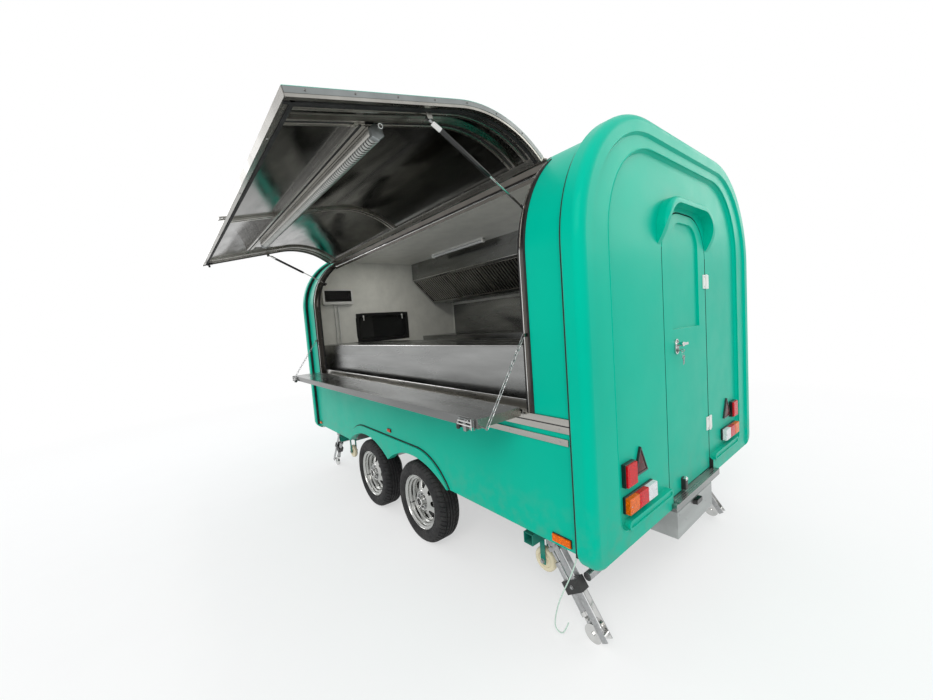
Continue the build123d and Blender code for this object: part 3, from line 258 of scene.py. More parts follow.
def gelcoat(name, colour, rough):
    """Moulded panel in coloured resin: faint clouds, a soft gloss, and road dust low down."""
    f = Finish(name, Coat_Weight=0.03, Coat_Roughness=0.10, Specular_IOR_Level=0.13,
               Specular_Tint=(0.05, 0.9, 0.75, 1.0))
    paint = f.mixed(f.cloud(2.2, 3, 0.35, 0.65), darker(colour, 0.95), colour)
    dust = f.times(f.between(f.low_down(0.47, 0.80), 0.0, 1.0, 0.0, 0.4),
                   f.cloud(14, 5, 0.42, 0.75))
    f.colour(f.mixed(dust, paint, (0.13, 0.24, 0.17)))
    f.roughness(f.cloud(6, 4, 0.3, 0.7, rough - 0.04, rough + 0.06))
    f.bump(f.noise(3.5, 2), 0.12, 0.0012)
    f.bump(f.noise(420, 2), 0.04, 0.0004)
    return f.material


def brushed_steel(name, colour, rough, along="X"):
    """Sheet steel with its fine grain along one axis, and rub marks across it."""
    f = Finish(name, Metallic=1.0)
    stretch = {"X": (3, 900, 900), "Y": (900, 3, 900), "Z": (900, 900, 3)}[along]
    rub = {"X": (0.8, 5, 5), "Y": (5, 0.8, 5), "Z": (5, 5, 0.8)}[along]
    grain = f.noise(1.0, 2, stretch)
    smear = f.cloud(2.6, 4, 0.36, 0.68, stretch=rub)
    f.colour(f.mixed(smear, darker(colour, 0.82), colour))
    f.roughness(f.cloud(1.6, 5, 0.3, 0.7, rough - 0.07, rough + 0.09, rub))
    f.bump(grain, 0.05, 0.0003)
    f.bump(f.noise(2.0, 2), 0.2, 0.0012)
    return f.material


def lining_sheet(name, colour, rough):
    """Polished lining sheet, a little wavy, with wiped streaks."""
    f = Finish(name, Metallic=1.0)
    haze = f.cloud(5, 4, 0.4, 0.75, stretch=(1, 3, 3))
    f.colour(f.mixed(haze, colour, darker(colour, 0.72)))
    f.roughness(f.between(haze, 0.0, 1.0, rough, rough + 0.09))
    f.bump(f.noise(1.7, 2), 0.3, 0.002)
    return f.material


def worn(name, first, second, wear, rough, relief, **constants):
    """One cloud mixes two colours and another the roughness, over a fine relief."""
    f = Finish(name, **constants)
    f.colour(f.mixed(f.cloud(*wear), first, second))
    f.roughness(f.cloud(*rough))
    f.bump(f.noise(*relief[:2]), *relief[2:])
    return f.material


def bright_metal(name, colour, rough):
    """Plated or polished small parts with fine scratches and dulled patches."""
    return worn(name, colour, darker(colour, 0.8), (14, 3, 0.45, 0.8),
                (20, 3, 0.35, 0.7, rough, rough + 0.08), (60, 2, 0.02, 0.0003), Metallic=1.0)


def galvanised(name, colour):
    """Zinc coat: grey spangle, dull streaks and grime."""
    f = Finish(name, Metallic=0.92)
    spangle = f.mixed(f.between(f.cells(55), 0.0, 0.35, 0.0, 1.0), darker(colour, 0.86), colour)
    grime = f.cloud(11, 5, 0.5, 0.78, 0.0, 0.6)
    f.colour(f.mixed(grime, spangle, (0.08, 0.085, 0.08)))
    f.roughness(f.cloud(24, 4, 0.3, 0.7, 0.24, 0.46))
    f.bump(f.noise(120, 3), 0.1, 0.0005)
    return f.material


def rubber(name, colour, dust):
    """Dull black rubber, dusty in patches."""
    return worn(name, colour, dust, (9, 5, 0.42, 0.75),
                (40, 3, 0.3, 0.7, 0.62, 0.86), (520, 2, 0.12, 0.0004), Specular_IOR_Level=0.35)


def moulded_plastic(name, colour, rough, grain=0.08):
    """Plastic with a fine grain, a little darker in patches."""
    return worn(name, colour, darker(colour, 0.88), (8, 4, 0.35, 0.7),
                (30, 3, 0.3, 0.7, rough - 0.05, rough + 0.08), (650, 2, grain, 0.0004))


def lens(name, colour, shade=0.55):
    """Coloured lamp lens with its prism pattern under a glossy face."""
    f = Finish(name, Coat_Weight=0.12, Coat_Roughness=0.04, Specular_IOR_Level=0.15)
    depth = f.between(f.cells(95), 0.0, 0.3, 0.0, 1.0)
    f.colour(f.mixed(depth, darker(colour, shade), colour))
    f.roughness(f.cloud(50, 2, 0.3, 0.7, 0.08, 0.16))
    f.bump(depth, 0.3, 0.001)
    return f.material


def window_pane(name):
    """Dark pane with faint smears."""
    f = Finish(name, Transmission_Weight=0.15, IOR=1.49, Specular_IOR_Level=0.4)
    smear = f.cloud(6, 4, 0.4, 0.75)
    f.colour(f.mixed(smear, (0.012, 0.013, 0.013), (0.020, 0.021, 0.021)))
    f.roughness(f.between(smear, 0.0, 1.0, 0.02, 0.06))
    f.bump(f.noise(3, 2), 0.06, 0.0008)
    return f.material


finishes = {}
# The record's material slots, and the finishes that belong to each
SLOT_FINISHES = {
    "teal_panel": ("paint",),
    "chassis_paint": ("chassis",),
    "stainless": ("steel", "steel_up", "steel_across", "steel_edge", "dark_steel", "aluminium", "lining",
                  "rib", "lip", "pale", "baffle"),
    "rim_chrome": ("rim", "chrome"),
    "galvanised": ("zinc", "plate"),
    "tyre": ("tyre",),
    "black_plastic": ("seal", "black", "gloss_black"),
    "window_trim": ("wall", "white"),
    "castor_cream": ("nylon",),
    "floor_board": ("floor",),
    "lamp_lens": ("red", "deep_red", "amber", "orange", "clear", "fluted"),
    "glass": ("pane",),
    "wire_sheath": ("sheath",),
}
FINISH_SLOT = {finish: slot for slot, group in SLOT_FINISHES.items() for finish in group}


def mix_finishes(look):
    steel = tuple(look.steel)
    finishes.update(
        paint=gelcoat("teal gelcoat", tuple(look.paint), look.gloss),
        chassis=gelcoat("chassis enamel", (0.01, 0.20, 0.15), 0.42),
        steel=brushed_steel("brushed steel along", steel, 0.24),
        # Steel darkened and browned for the opening's jambs and the cupboard doors: painted reflection and
        # shade.
        steel_up=brushed_steel("upright steel with painted reflection and shade", (0.135, 0.125, 0.112), 0.2, "Z"),
        # Shelf steel at 0.62 times for the faces that don't look up: painted shade.
        steel_edge=brushed_steel("shelf steel with painted shade", darker(steel, 0.62), 0.2),
        steel_across=brushed_steel("brushed steel across", steel, 0.24, "Y"),
        aluminium=brushed_steel("drawn aluminium", (0.42, 0.41, 0.38), 0.26),
        pale=brushed_steel("pale edge profile", (0.29, 0.31, 0.31), 0.34),
        rib=brushed_steel("formed rib sheet", (0.30, 0.29, 0.27), 0.24, "Z"),
        lip=brushed_steel("rib lips", (0.60, 0.58, 0.53), 0.3),
        # Polished lining of the hatch, darkened far below polished steel to the shaded look of its underside:
        # painted shade.
        lining=lining_sheet("polished lining with painted shade", (0.12, 0.12, 0.112), 0.13),
        chrome=bright_metal("bright plating", (0.66, 0.66, 0.65), 0.07),
        rim=bright_metal("wheel plating", (0.50, 0.505, 0.49), 0.13),
        fluted=bright_metal("fluted cover", (0.42, 0.43, 0.41), 0.3),
        zinc=galvanised("galvanised steel", (0.44, 0.445, 0.45)),
        plate=brushed_steel("plate box sheet", (0.46, 0.48, 0.475), 0.36, "Y"),
        dark_steel=bright_metal("dark steel", (0.16, 0.16, 0.155), 0.3),
        baffle=bright_metal("baffle steel", (0.46, 0.45, 0.43), 0.3),
        tyre=rubber("tyre rubber", (0.013, 0.013, 0.014), (0.032, 0.031, 0.030)),
        seal=rubber("black rubber", (0.011, 0.011, 0.011), (0.026, 0.026, 0.026)),
        wall=moulded_plastic("lining board", (0.80, 0.80, 0.745), 0.34, 0.04),
        white=moulded_plastic("white plastic", (0.78, 0.78, 0.75), 0.35),
        black=moulded_plastic("black plastic", (0.016, 0.016, 0.016), 0.38),
        gloss_black=moulded_plastic("glossy black plastic", (0.014, 0.014, 0.014), 0.14, 0.02),
        nylon=moulded_plastic("cream nylon", (0.72, 0.64, 0.45), 0.4),
        floor=moulded_plastic("floor covering", (0.26, 0.26, 0.25), 0.5, 0.3),
        red=lens("red lens", (0.72, 0.0, 0.008)),
        deep_red=lens("reflector lens", (0.10, 0.002, 0.006), 0.4),
        amber=lens("amber lens", (0.92, 0.16, 0.0)),
        orange=lens("marker lens", (0.70, 0.05, 0.0)),
        clear=lens("clear lens", (0.76, 0.77, 0.78), 0.75),
        pane=window_pane("dark pane"),
        sheath=moulded_plastic("wire sheath", (0.50, 0.66, 0.56), 0.35, 0.05),
    )


# Shapes

def round_angles(count):
    """Angles of points spaced evenly round a whole turn."""
    return [2 * math.pi * i / count for i in range(count)]


def polar(radius, angle, height):
    return Vector((radius * math.cos(angle), radius * math.sin(angle), height))


def mirrored(sign, near, far):
    """Low and high value of two distances from the middle, on the side that the sign gives."""
    return sorted((sign * near, sign * far))


def join_rings(bm, rings, closed=False):
    """Skins successive loops of vertices; an open run gets a face at each end."""
    count = len(rings[0])
    for here, there in zip(rings, rings[1:] + (rings[:1] if closed else [])):
        for j in range(count):
            k = (j + 1) % count
            bm.faces.new((here[j], there[j], there[k], here[k]))
    if not closed:
        bm.faces.new(rings[0])
        bm.faces.new(tuple(reversed(rings[-1])))


def add_box(bm, x, y, z, turn=None):
    """Box between the low and high value of each pair, in body axes."""
    low, high = at(x[0], y[0], z[0]), at(x[1], y[1], z[1])
    place = Matrix.Translation((low + high) / 2) @ Matrix.Diagonal((*(high - low), 1))
    bmesh.ops.create_cube(bm, size=1, matrix=turn @ place if turn else place)


def facing(point, direction):
    """Placement at a point whose Z axis looks along a direction."""
    return Matrix.Translation(point) @ Vector(direction).to_track_quat("Z", "Y").to_matrix().to_4x4()


def add_rod(bm, start, end, radius, far_radius=None, segments=20):
    """Round bar or cone between two points of the frame."""
    axis = end - start
    far_radius = radius if far_radius is None else far_radius
    bmesh.ops.create_cone(bm, cap_ends=True, segments=segments, radius1=radius, radius2=far_radius,
                          depth=axis.length, matrix=facing((start + end) / 2, axis))


def add_turned(bm, outline, place, segments=48, closed=False):
    """Outline of (radius, height) pairs turned about the Z axis of place."""
    rings = []
    for angle in round_angles(segments):
        rings.append([bm.verts.new(place @ polar(r, angle, h)) for r, h in outline])
    spans = len(outline) if closed else len(outline) - 1
    for here, there in zip(rings, rings[1:] + rings[:1]):
        for j in range(spans):
            k = (j + 1) % len(outline)
            bm.faces.new((here[j], there[j], there[k], here[k]))


def add_tube(bm, points, radius, segments=8, closed=False):
    """Round wire through points of the frame."""
    rings, normal = [], None
    last = len(points) - 1
    for i, point in enumerate(points):
        ahead = points[(i + 1) % len(points)] if closed or i < last else point
        behind = points[i - 1] if closed or i else point
        run = (ahead - behind).normalized()
        normal = run.orthogonal() if normal is None else normal - run * normal.dot(run)
        normal.normalize()
        side = run.cross(normal)
        around = (normal * math.cos(a) + side * math.sin(a) for a in round_angles(segments))
        rings.append([bm.verts.new(point + out * radius) for out in around])
    join_rings(bm, rings, closed)


def band_rings(bm, x, outer, inner, turn=Matrix(), side=1):
    """Loops of four corners: two stations along X by two outlines of (y, z) points."""
    rings = []
    for (oy, oz), (iy, iz) in zip(outer, inner):
        corners = ((x[0], oy, oz), (x[1], oy, oz), (x[1], iy, iz), (x[0], iy, iz))
        rings.append([bm.verts.new(turn @ at(cx, side * cy, cz)) for cx, cy, cz in corners])
    return rings


def add_bar(bm, x, y, z, radius, segments=12):
    """Straight round bar along X, between two stations."""
    add_tube(bm, [at(x[0], y, z), at(x[1], y, z)], radius, segments)


def add_ring(bm, x, outer, inner):
    """Frame between two closed outlines of (y, z) points and two stations along X."""
    join_rings(bm, band_rings(bm, x, outer, inner), closed=True)


def add_prism(bm, outline, x, far=1.0):
    """Closed outline of (y, z) points between two stations along X; far scales it at the second one."""
    mid_y = sum(y for y, z in outline) / len(outline)
    mid_z = sum(z for y, z in outline) / len(outline)
    near = [bm.verts.new(at(x[0], y, z)) for y, z in outline]
    scaled = [(mid_y + (y - mid_y) * far, mid_z + (z - mid_z) * far) for y, z in outline]
    join_rings(bm, [near, [bm.verts.new(at(x[1], y, z)) for y, z in scaled]])


def arch_outline(half, bottom, top, radius, low_radius=0.001, mid=0.0, steps=8):
    """Closed outline of (y, z) points: an upright panel with rounded corners."""
    points = []
    for side, z, r, start in ((1, top, radius, 0), (-1, top, radius, 90), (-1, bottom, low_radius, 180),
                              (1, bottom, low_radius, 270)):
        centre_y = mid + side * (half - r)
        centre_z = z - r if z == top else z + r
        for i in range(steps + 1):
            angle = math.radians(start + 90 * i / steps)
            points.append((centre_y + r * math.cos(angle), centre_z + r * math.sin(angle)))
    return points


def skin_path(inset, low, angle, steps=16):
    """(y, z) points up the side of the body and round its roof corner, at a depth under the skin."""
    radius = CORNER_RADIUS - inset
    turns = [math.radians(angle) * i / steps for i in range(steps + 1)]
    corner = [(ARC_Y + radius * math.cos(a), ARC_Z + radius * math.sin(a)) for a in turns]
    return [(HALF_WIDTH - inset, low)] + corner


def add_skin_band(bm, x, insets, low, angle, turn=Matrix()):
    """Band between two stations along X and two depths, up the side and round the roof corner."""
    join_rings(bm, band_rings(bm, x, *(skin_path(inset, low, angle) for inset in insets), turn))


def add_screw(bm, place, radius=0.005, height=0.0025, sides=14):
    """Pan-head screw or rivet, its head along the Z axis of place."""
    add_turned(bm, [(ON_AXIS, height), (radius * 0.55, height * 0.92), (radius * 0.9, height * 0.55),
                    (radius, 0.0), (radius, -0.001), (ON_AXIS, -0.001)], place, sides)


def add_nut(bm, place, across, height):
    """Hexagon head on its washer, along the Z axis of place."""
    washer = across * 0.66
    add_turned(bm, [(ON_AXIS, -0.001), (washer, -0.001), (washer, 0.0015), (ON_AXIS, 0.0015)], place, 20)
    bmesh.ops.create_cone(bm, cap_ends=True, segments=6, radius1=across * 0.577, radius2=across * 0.54,
                          depth=height, matrix=place @ Matrix.Translation((0, 0, height / 2 + 0.0015)))


def three_point_arc(a, b, c, steps):
    """Points in a plane along the circle from a by b to c."""
    spread = 2 * (a[0] * (b[1] - c[1]) + b[0] * (c[1] - a[1]) + c[0] * (a[1] - b[1]))
    sa, sb, sc = (p[0] ** 2 + p[1] ** 2 for p in (a, b, c))
    mid = ((sa * (b[1] - c[1]) + sb * (c[1] - a[1]) + sc * (a[1] - b[1])) / spread,
           (sa * (c[0] - b[0]) + sb * (a[0] - c[0]) + sc * (b[0] - a[0])) / spread)
    start = math.atan2(a[1] - mid[1], a[0] - mid[0])
    end = math.atan2(c[1] - mid[1], c[0] - mid[0])
    radius = math.hypot(a[0] - mid[0], a[1] - mid[1])
    turns = [start + (end - start) * i / steps for i in range(steps + 1)]
    return [(mid[0] + radius * math.cos(t), mid[1] + radius * math.sin(t)) for t in turns]


# Pieces

def add_materials(mesh, finish):
    """Gives a mesh its finish, or a list of them."""
    for one in ([finish] if isinstance(finish, str) else finish):
        mesh.materials.append(finishes[one])


def piece_of(name, bm, finish, body, slot, stands_for=(), bevel=0.0, sharp=34, levels=0, thick=0.0):
    """Turns a bmesh into a named piece that rides on a body."""
    bmesh.ops.remove_doubles(bm, verts=bm.verts, dist=1e-6)
    bmesh.ops.recalc_face_normals(bm, faces=bm.faces)
    mesh = bpy.data.meshes.new(name)
    bm.to_mesh(mesh)
    bm.free()
    add_materials(mesh, finish)
    mesh.polygons.foreach_set("use_smooth", [True] * len(mesh.polygons))
    mesh.set_sharp_from_angle(angle=math.radians(sharp))
    piece = bpy.data.objects.new(name, mesh)
    if levels:
        modifier = piece.modifiers.new("rounded", "SUBSURF")
        modifier.levels = modifier.render_levels = levels
    if thick:
        modifier = piece.modifiers.new("sheet", "SOLIDIFY")
        modifier.thickness = thick
        modifier.offset = -1
    if bevel:
        modifier = piece.modifiers.new("edges", "BEVEL")
        modifier.width = bevel
        modifier.segments = 2
        modifier.limit_method = "ANGLE"
        modifier.angle_limit = math.radians(34)
        modifier.harden_normals = True
    return placed(piece, body, slot, stands_for)


def placed(piece, body, slot, stands_for=()):
    """Lets an object ride on a body, in the place of the nodes it stands for; the slot is not used."""
    bpy.context.scene.collection.objects.link(piece)
    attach(piece, body)
    if stands_for:
        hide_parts(*stands_for)
    return piece


class Batch:
    """Fine shapes that ride on one body, gathered by finish; the first finish stands for the nodes."""

    def __init__(self, name, body="root"):
        self.name, self.body, self.meshes = name, body, {}

    def __getitem__(self, finish):
        if finish not in self.meshes:
            self.meshes[finish] = bmesh.new()
        return self.meshes[finish]

    def make(self, stands_for=(), bevel=0.0, sharp=34):
        for finish, bm in self.meshes.items():
            piece_of(f"{self.name}_{finish}", bm, finish, self.body, FINISH_SLOT[finish], stands_for, bevel,
                     sharp)
            stands_for = ()


def copied(node, finish, choose=None):
    """A piece with the node's own mesh and the normals of its curved faces."""
    mesh = frame["nodes"][node].data.copy()
    mesh.name = node + "_copied"
    mesh.materials.clear()
    add_materials(mesh, finish)
    for face in mesh.polygons:
        face.material_index = choose(face.center, face.normal) if choose else 0
    return placed(bpy.data.objects.new(node + "_copied", mesh), NODE_BODY[node], NODE_SLOT[node], (node,))


def dress(node, finish, bevel=0.002, choose=None, sharp=34):
    """A piece with the node's own shape, softened edges and its finish."""
    bm = bmesh.new()
    bm.from_mesh(frame["nodes"][node].data)
    bmesh.ops.remove_doubles(bm, verts=bm.verts, dist=2e-6)
    bmesh.ops.dissolve_limit(bm, angle_limit=math.radians(0.6), verts=bm.verts, edges=bm.edges)
    if choose:
        for face in bm.faces:
            face.material_index = choose(face.calc_center_median(), face.normal)
    return piece_of(node + "_dressed", bm, finish, NODE_BODY[node], NODE_SLOT[node], (node,), bevel, sharp)


def depth_in_body(point):
    """How far a point lies under the body's outer skin."""
    y, z = abs(point.y - BODY_Y), point.z
    if y > ARC_Y and z > ARC_Z:
        return CORNER_RADIUS - math.hypot(y - ARC_Y, z - ARC_Z)
    return min(HALF_WIDTH - y, ROOF_TOP - z)


def lined(point, normal):
    """1 for the lining inside the cabin, 0 for the outside skin."""
    return 1 if depth_in_body(point) > WALL * 0.6 else 0


def cap_zone(point, normal):
    """Paint outside, lining inside, and rubber round the door's opening."""
    beside = abs(abs(point.y - BODY_Y) - DOOR_HALF) < 0.009
    if beside and abs(normal.x) < 0.2 and point.x < BODY_X and DOOR_BOTTOM < point.z < DOOR_TOP - DOOR_RADIUS:
        return 2
    return 1 if abs(point.x - BODY_X) < HALF_LENGTH + 0.002 and depth_in_body(point) > 0.03 else 0


# Groups of sizes and colours that a user can change

def number_field(name, description, default, **more):
    return FloatProperty(name=name, description=description, default=default, **more)


def size_field(name, description, default):
    return number_field(name, description, default, subtype="DISTANCE", unit="LENGTH")


def power_field(name, description, default):
    return number_field(name, description, default, unit="POWER")


def count_field(name, description, default, least):
    return IntProperty(name=name, description=description, default=default, min=least)


def colour_field(name, description, default):
    return FloatVectorProperty(name=name, description=description, default=default, subtype="COLOR")


class LookSettings(bpy.types.PropertyGroup):
    """Paint, steel and panel edges"""
    paint: colour_field("Paint", "Colour of the moulded panels", (0.0, 0.425, 0.29))
    gloss: number_field("Paint roughness", "Roughness of the painted panels", 0.34, min=0.05, max=0.9)
    steel: colour_field("Steel", "Colour of the sheet steel", (0.32, 0.325, 0.32))
    edge: size_field("Edge", "Width of the rounded panel edges", 0.003)
    seam: size_field("Seam", "Width of the rubber in the panel seams", 0.012)


class WheelSettings(bpy.types.PropertyGroup):
    """Tyre tread and wheel discs"""
    pitches: count_field("Tread pitches", "Tread blocks round a tyre", 54, 12)
    groove: size_field("Tread depth", "Depth of the cross grooves", 0.006)
    spokes: count_field("Spokes", "Windows in a wheel disc", 8, 3)
    nuts: count_field("Wheel nuts", "Nuts round a hub", 6, 3)


class TrimSettings(bpy.types.PropertyGroup):
    """Rivets, chain wire and the light's flutes"""
    rivet_pitch: size_field("Rivet pitch", "Distance from rivet to rivet on the hatch's edge", 0.165)
    link_wire: size_field("Link wire", "Radius of the chain's wire", 0.0017)
    flute: size_field("Diffuser flutes", "Distance between the flutes of the hatch's light", 0.021)


class StageSettings(bpy.types.PropertyGroup):
    """Lamps, surroundings and floor"""
    key: power_field("Key light", "Power of the main lamp", 230.0)
    fill: power_field("Fill light", "Power of the lamp on the dark side", 80.0)
    cabin: power_field("Cabin light", "Power of the soft lamp under the roof", 11.0)
    sky: number_field("Sky", "Strength of the even light from all round", 0.85)
    floor_half: size_field("Floor half size", "Reach of the floor to each side", 40.0)
    shade: number_field("Floor shade", "Share of the floor's white that shadows darken", 0.45,
                        min=0.0, max=1.0)


# Stage and cord

def add_lamp(name, energy, place, target, size, tint):
    """Soft rectangular lamp that looks at a target; the cabin's doesn't show in glossy faces."""
    data = bpy.data.lights.new(name, "AREA")
    data.energy = energy
    data.shape = "RECTANGLE"
    data.size, data.size_y = size
    data.color = tint
    lamp = bpy.data.objects.new(name, data)
    lamp.location = place
    lamp.rotation_euler = (target - place).to_track_quat("-Z", "Y").to_euler()
    lamp.visible_glossy = name != "cabin"
    bpy.context.scene.collection.objects.link(lamp)


def seen_white(nodes, links, lit, white, share=None):
    """Mixes plain white in, or a share of it, where camera, glossy or transmission rays look."""
    path = nodes.new("ShaderNodeLightPath")
    most = path.outputs["Is Camera Ray"]
    for ray in ("Is Glossy Ray", "Is Transmission Ray"):
        node = nodes.new("ShaderNodeMath")
        node.operation = "MAXIMUM"
        links.new(most, node.inputs[0])
        links.new(path.outputs[ray], node.inputs[1])
        most = node.outputs[0]
    if share:
        part = nodes.new("ShaderNodeMath")
        part.operation = "MULTIPLY"
        links.new(most, part.inputs[0])
        links.new(share, part.inputs[1])
        most = part.outputs[0]
    mix = nodes.new("ShaderNodeMixShader")
    links.new(most, mix.inputs[0])
    links.new(lit, mix.inputs[1])
    links.new(white, mix.inputs[2])
    return mix.outputs[0]


class BuildStage(bpy.types.Operator):
    """Camera, white surroundings, soft lamps and a pale floor"""
    bl_idname = "trailer.build_stage"
    bl_label = "Stage"

    def execute(self, context):
        settings = context.scene.trailer_stage
        self.add_camera(context.scene)
        self.add_surroundings(context.scene, settings)
        self.add_floor(context.scene, settings)
        for name, energy, place, size, tint in (
                ("key", settings.key, (-4.5, 5.5, 5.2), (4.5, 3.0), (1.0, 0.98, 0.95)),
                ("fill", settings.fill, (-4.2, -4.8, 4.2), (4.0, 3.0), (1.0, 0.97, 0.9)),
                ("front", settings.fill, (6.0, 3.0, 4.0), (4.0, 3.0), (1.0, 1.0, 1.0))):
            add_lamp(name, energy, at(*place), at(0, 0.6, 1.2), size, tint)
        add_lamp("cabin", settings.cabin, at(0, 0.25, 2.37), at(0, 0.25, 0), (2.6, 0.3), (1.0, 0.98, 0.92))
        return {"FINISHED"}

    def add_camera(self, scene):
        level = Vector((math.cos(CAMERA_YAW), math.sin(CAMERA_YAW), 0))
        upright = Vector((0, 0, 1))
        ahead = level * math.cos(CAMERA_PITCH) - upright * math.sin(CAMERA_PITCH)
        across = level.cross(upright)
        top = across.cross(ahead)
        right = across * math.cos(CAMERA_ROLL) + top * math.sin(CAMERA_ROLL)
        up = -across * math.sin(CAMERA_ROLL) + top * math.cos(CAMERA_ROLL)
        data = bpy.data.cameras.new("photo_view")
        data.lens = CAMERA_LENS
        data.sensor_width = 36
        data.sensor_fit = "HORIZONTAL"
        data.clip_start, data.clip_end = 0.05, 200
        camera = bpy.data.objects.new("photo_view", data)
        turned = Matrix((right, up, -ahead)).transposed().to_4x4()
        camera.matrix_world = Matrix.Translation(at(*CAMERA_PLACE)) @ turned
        scene.collection.objects.link(camera)
        scene.camera = camera

    def add_surroundings(self, scene, settings):
        scene.view_settings.view_transform = "Standard"
        world = scene.world or bpy.data.worlds.new("studio")
        scene.world = world
        world.use_nodes = True
        nodes, links = world.node_tree.nodes, world.node_tree.links
        nodes.clear()
        lit, white = nodes.new("ShaderNodeBackground"), nodes.new("ShaderNodeBackground")
        lit.inputs["Color"].default_value = (0.93, 0.96, 1.0, 1)
        lit.inputs["Strength"].default_value = settings.sky
        white.inputs["Color"].default_value = (1, 1, 1, 1)
        white.inputs["Strength"].default_value = 1.0
        out = nodes.new("ShaderNodeOutputWorld")
        links.new(seen_white(nodes, links, lit.outputs[0], white.outputs[0]), out.inputs["Surface"])

    def add_floor(self, scene, settings):
        half = settings.floor_half
        mesh = bpy.data.meshes.new("studio_floor")
        corners = [(-half, -half, 0), (half, -half, 0), (half, half, 0), (-half, half, 0)]
        mesh.from_pydata(corners, [], [(0, 1, 2, 3)])
        floor = bpy.data.objects.new("studio_floor", mesh)
        scene.collection.objects.link(floor)
        pale = Finish("studio floor", Specular_IOR_Level=0.1, Roughness=0.9)
        pale.colour(pale.mixed(pale.noise(3, 3), (0.86, 0.86, 0.85), (0.90, 0.90, 0.89)))
        glow = pale.nodes.new("ShaderNodeEmission")
        glow.inputs["Color"].default_value = (1, 1, 1, 1)
        glow.inputs["Strength"].default_value = 1.0
        reach = pale.nodes.new("ShaderNodeVectorMath")
        reach.operation = "LENGTH"
        pale.links.new(pale.place, reach.inputs[0])
        share = pale.between(reach.outputs["Value"], 2.5, 7.5, 1 - settings.shade, 1.0)
        surface = seen_white(pale.nodes, pale.links, pale.shader.outputs[0], glow.outputs[0], share)
        out = [node for node in pale.nodes if node.type == "OUTPUT_MATERIAL"][0]
        pale.links.new(surface, out.inputs["Surface"])
        mesh.materials.append(pale.material)


class RunWire(bpy.types.Operator):
    """Loose lamp wire that hangs from its grommet under the rear corner"""
    bl_idname = "trailer.run_wire"
    bl_label = "Loose wire"

    def execute(self, context):
        curve = bpy.data.curves.new("loose_wire_run", "CURVE")
        curve.dimensions = "3D"
        curve.bevel_depth = WIRE_RADIUS
        curve.bevel_resolution = 4
        curve.resolution_u = 16
        curve.use_fill_caps = True
        spline = curve.splines.new("NURBS")
        spline.points.add(len(WIRE_ROUTE) - 1)
        for point, place in zip(spline.points, WIRE_ROUTE):
            point.co = (*at(*place), 1.0)
        spline.order_u = 3
        spline.use_endpoint_u = True
        curve.materials.append(finishes["sheath"])
        wire = bpy.data.objects.new("loose_wire_run", curve)
        placed(wire, NODE_BODY["loose_wire"], NODE_SLOT["loose_wire"], ("loose_wire",))
        at(*WIRE_ROUTE[0])
        relief = Batch("wire_grommet")
        add_turned(relief["black"], [(0.0031, 0.0), (0.0078, 0.0), (0.0078, -0.003), (0.0062, -0.005),
                                     (0.0058, -0.012), (0.0050, -0.013), (0.0047, -0.020), (0.0041, -0.021),
                                     (0.0038, -0.030), (0.0031, -0.031)],
                   Matrix.Translation(at(*WIRE_ROUTE[0])), 20, closed=True)
        relief.make()
        return {"FINISHED"}


# Body

class DressBody(bpy.types.Operator):
    """Moulded end caps, walls, roof, floor, seams and fender mouldings"""
    bl_idname = "trailer.dress_body"
    bl_label = "Body shell"

    def execute(self, context):
        look = context.scene.trailer_look
        for node in ("side_panel_left", "corner_panels_left", "side_wall_right", "roof_panel"):
            dress(node, ["paint", "wall"], look.edge * 0.5, lined)
        for node in ("cap_rear", "cap_front"):
            copied(node, ["paint", "wall", "seal"], cap_zone)
        dress("fenders", "paint", look.edge * 1.3)
        dress("floor_panel", "floor", look.edge)
        seams = Batch("body_seams")
        outer, inner = (skin_path(inset, PANEL_BOTTOM + 0.002, 90) for inset in (-0.0235, 0.004))
        for end in ENDS.values():
            x = mirrored(end, HALF_LENGTH + 0.003, HALF_LENGTH + 0.003 - look.seam)
            rings = band_rings(seams["seal"], x, outer, inner)
            rings += band_rings(seams["seal"], x, outer[::-1], inner[::-1], side=-1)
            join_rings(seams["seal"], rings)
        self.add_fender_beads(seams["seal"])
        steps = 12
        lip = arch_outline(0.8545, 0.5605, 2.3245, 0.4545, 0.0565, steps=steps)
        lip = lip[-steps - 1:] + lip[:-steps - 1]
        for end in ENDS.values():
            points = [at(end * (CAP_BACK - 0.0022), y, z) for y, z in lip]
            add_tube(seams["paint"], points, 0.0042, 8, closed=end > 0)
        seams.make()
        return {"FINISHED"}

    def add_fender_beads(self, bm):
        """Black rubber that lies along the top edge of each fender moulding."""
        end_x, flat_x, low, top = 0.8, 0.42, PANEL_BOTTOM, 0.712
        rise = three_point_arc((-end_x, low), (-end_x * 0.82, low + (top - low) * 0.70), (-flat_x, top), 14)
        outline = rise + [(-x, z) for x, z in reversed(rise)]
        for side in SIDES.values():
            points = [at(0.02 + x * 1.004, side * (HALF_WIDTH + 0.002), z + 0.0035) for x, z in outline]
            add_tube(bm, points, 0.0048, 8)


# Wheels

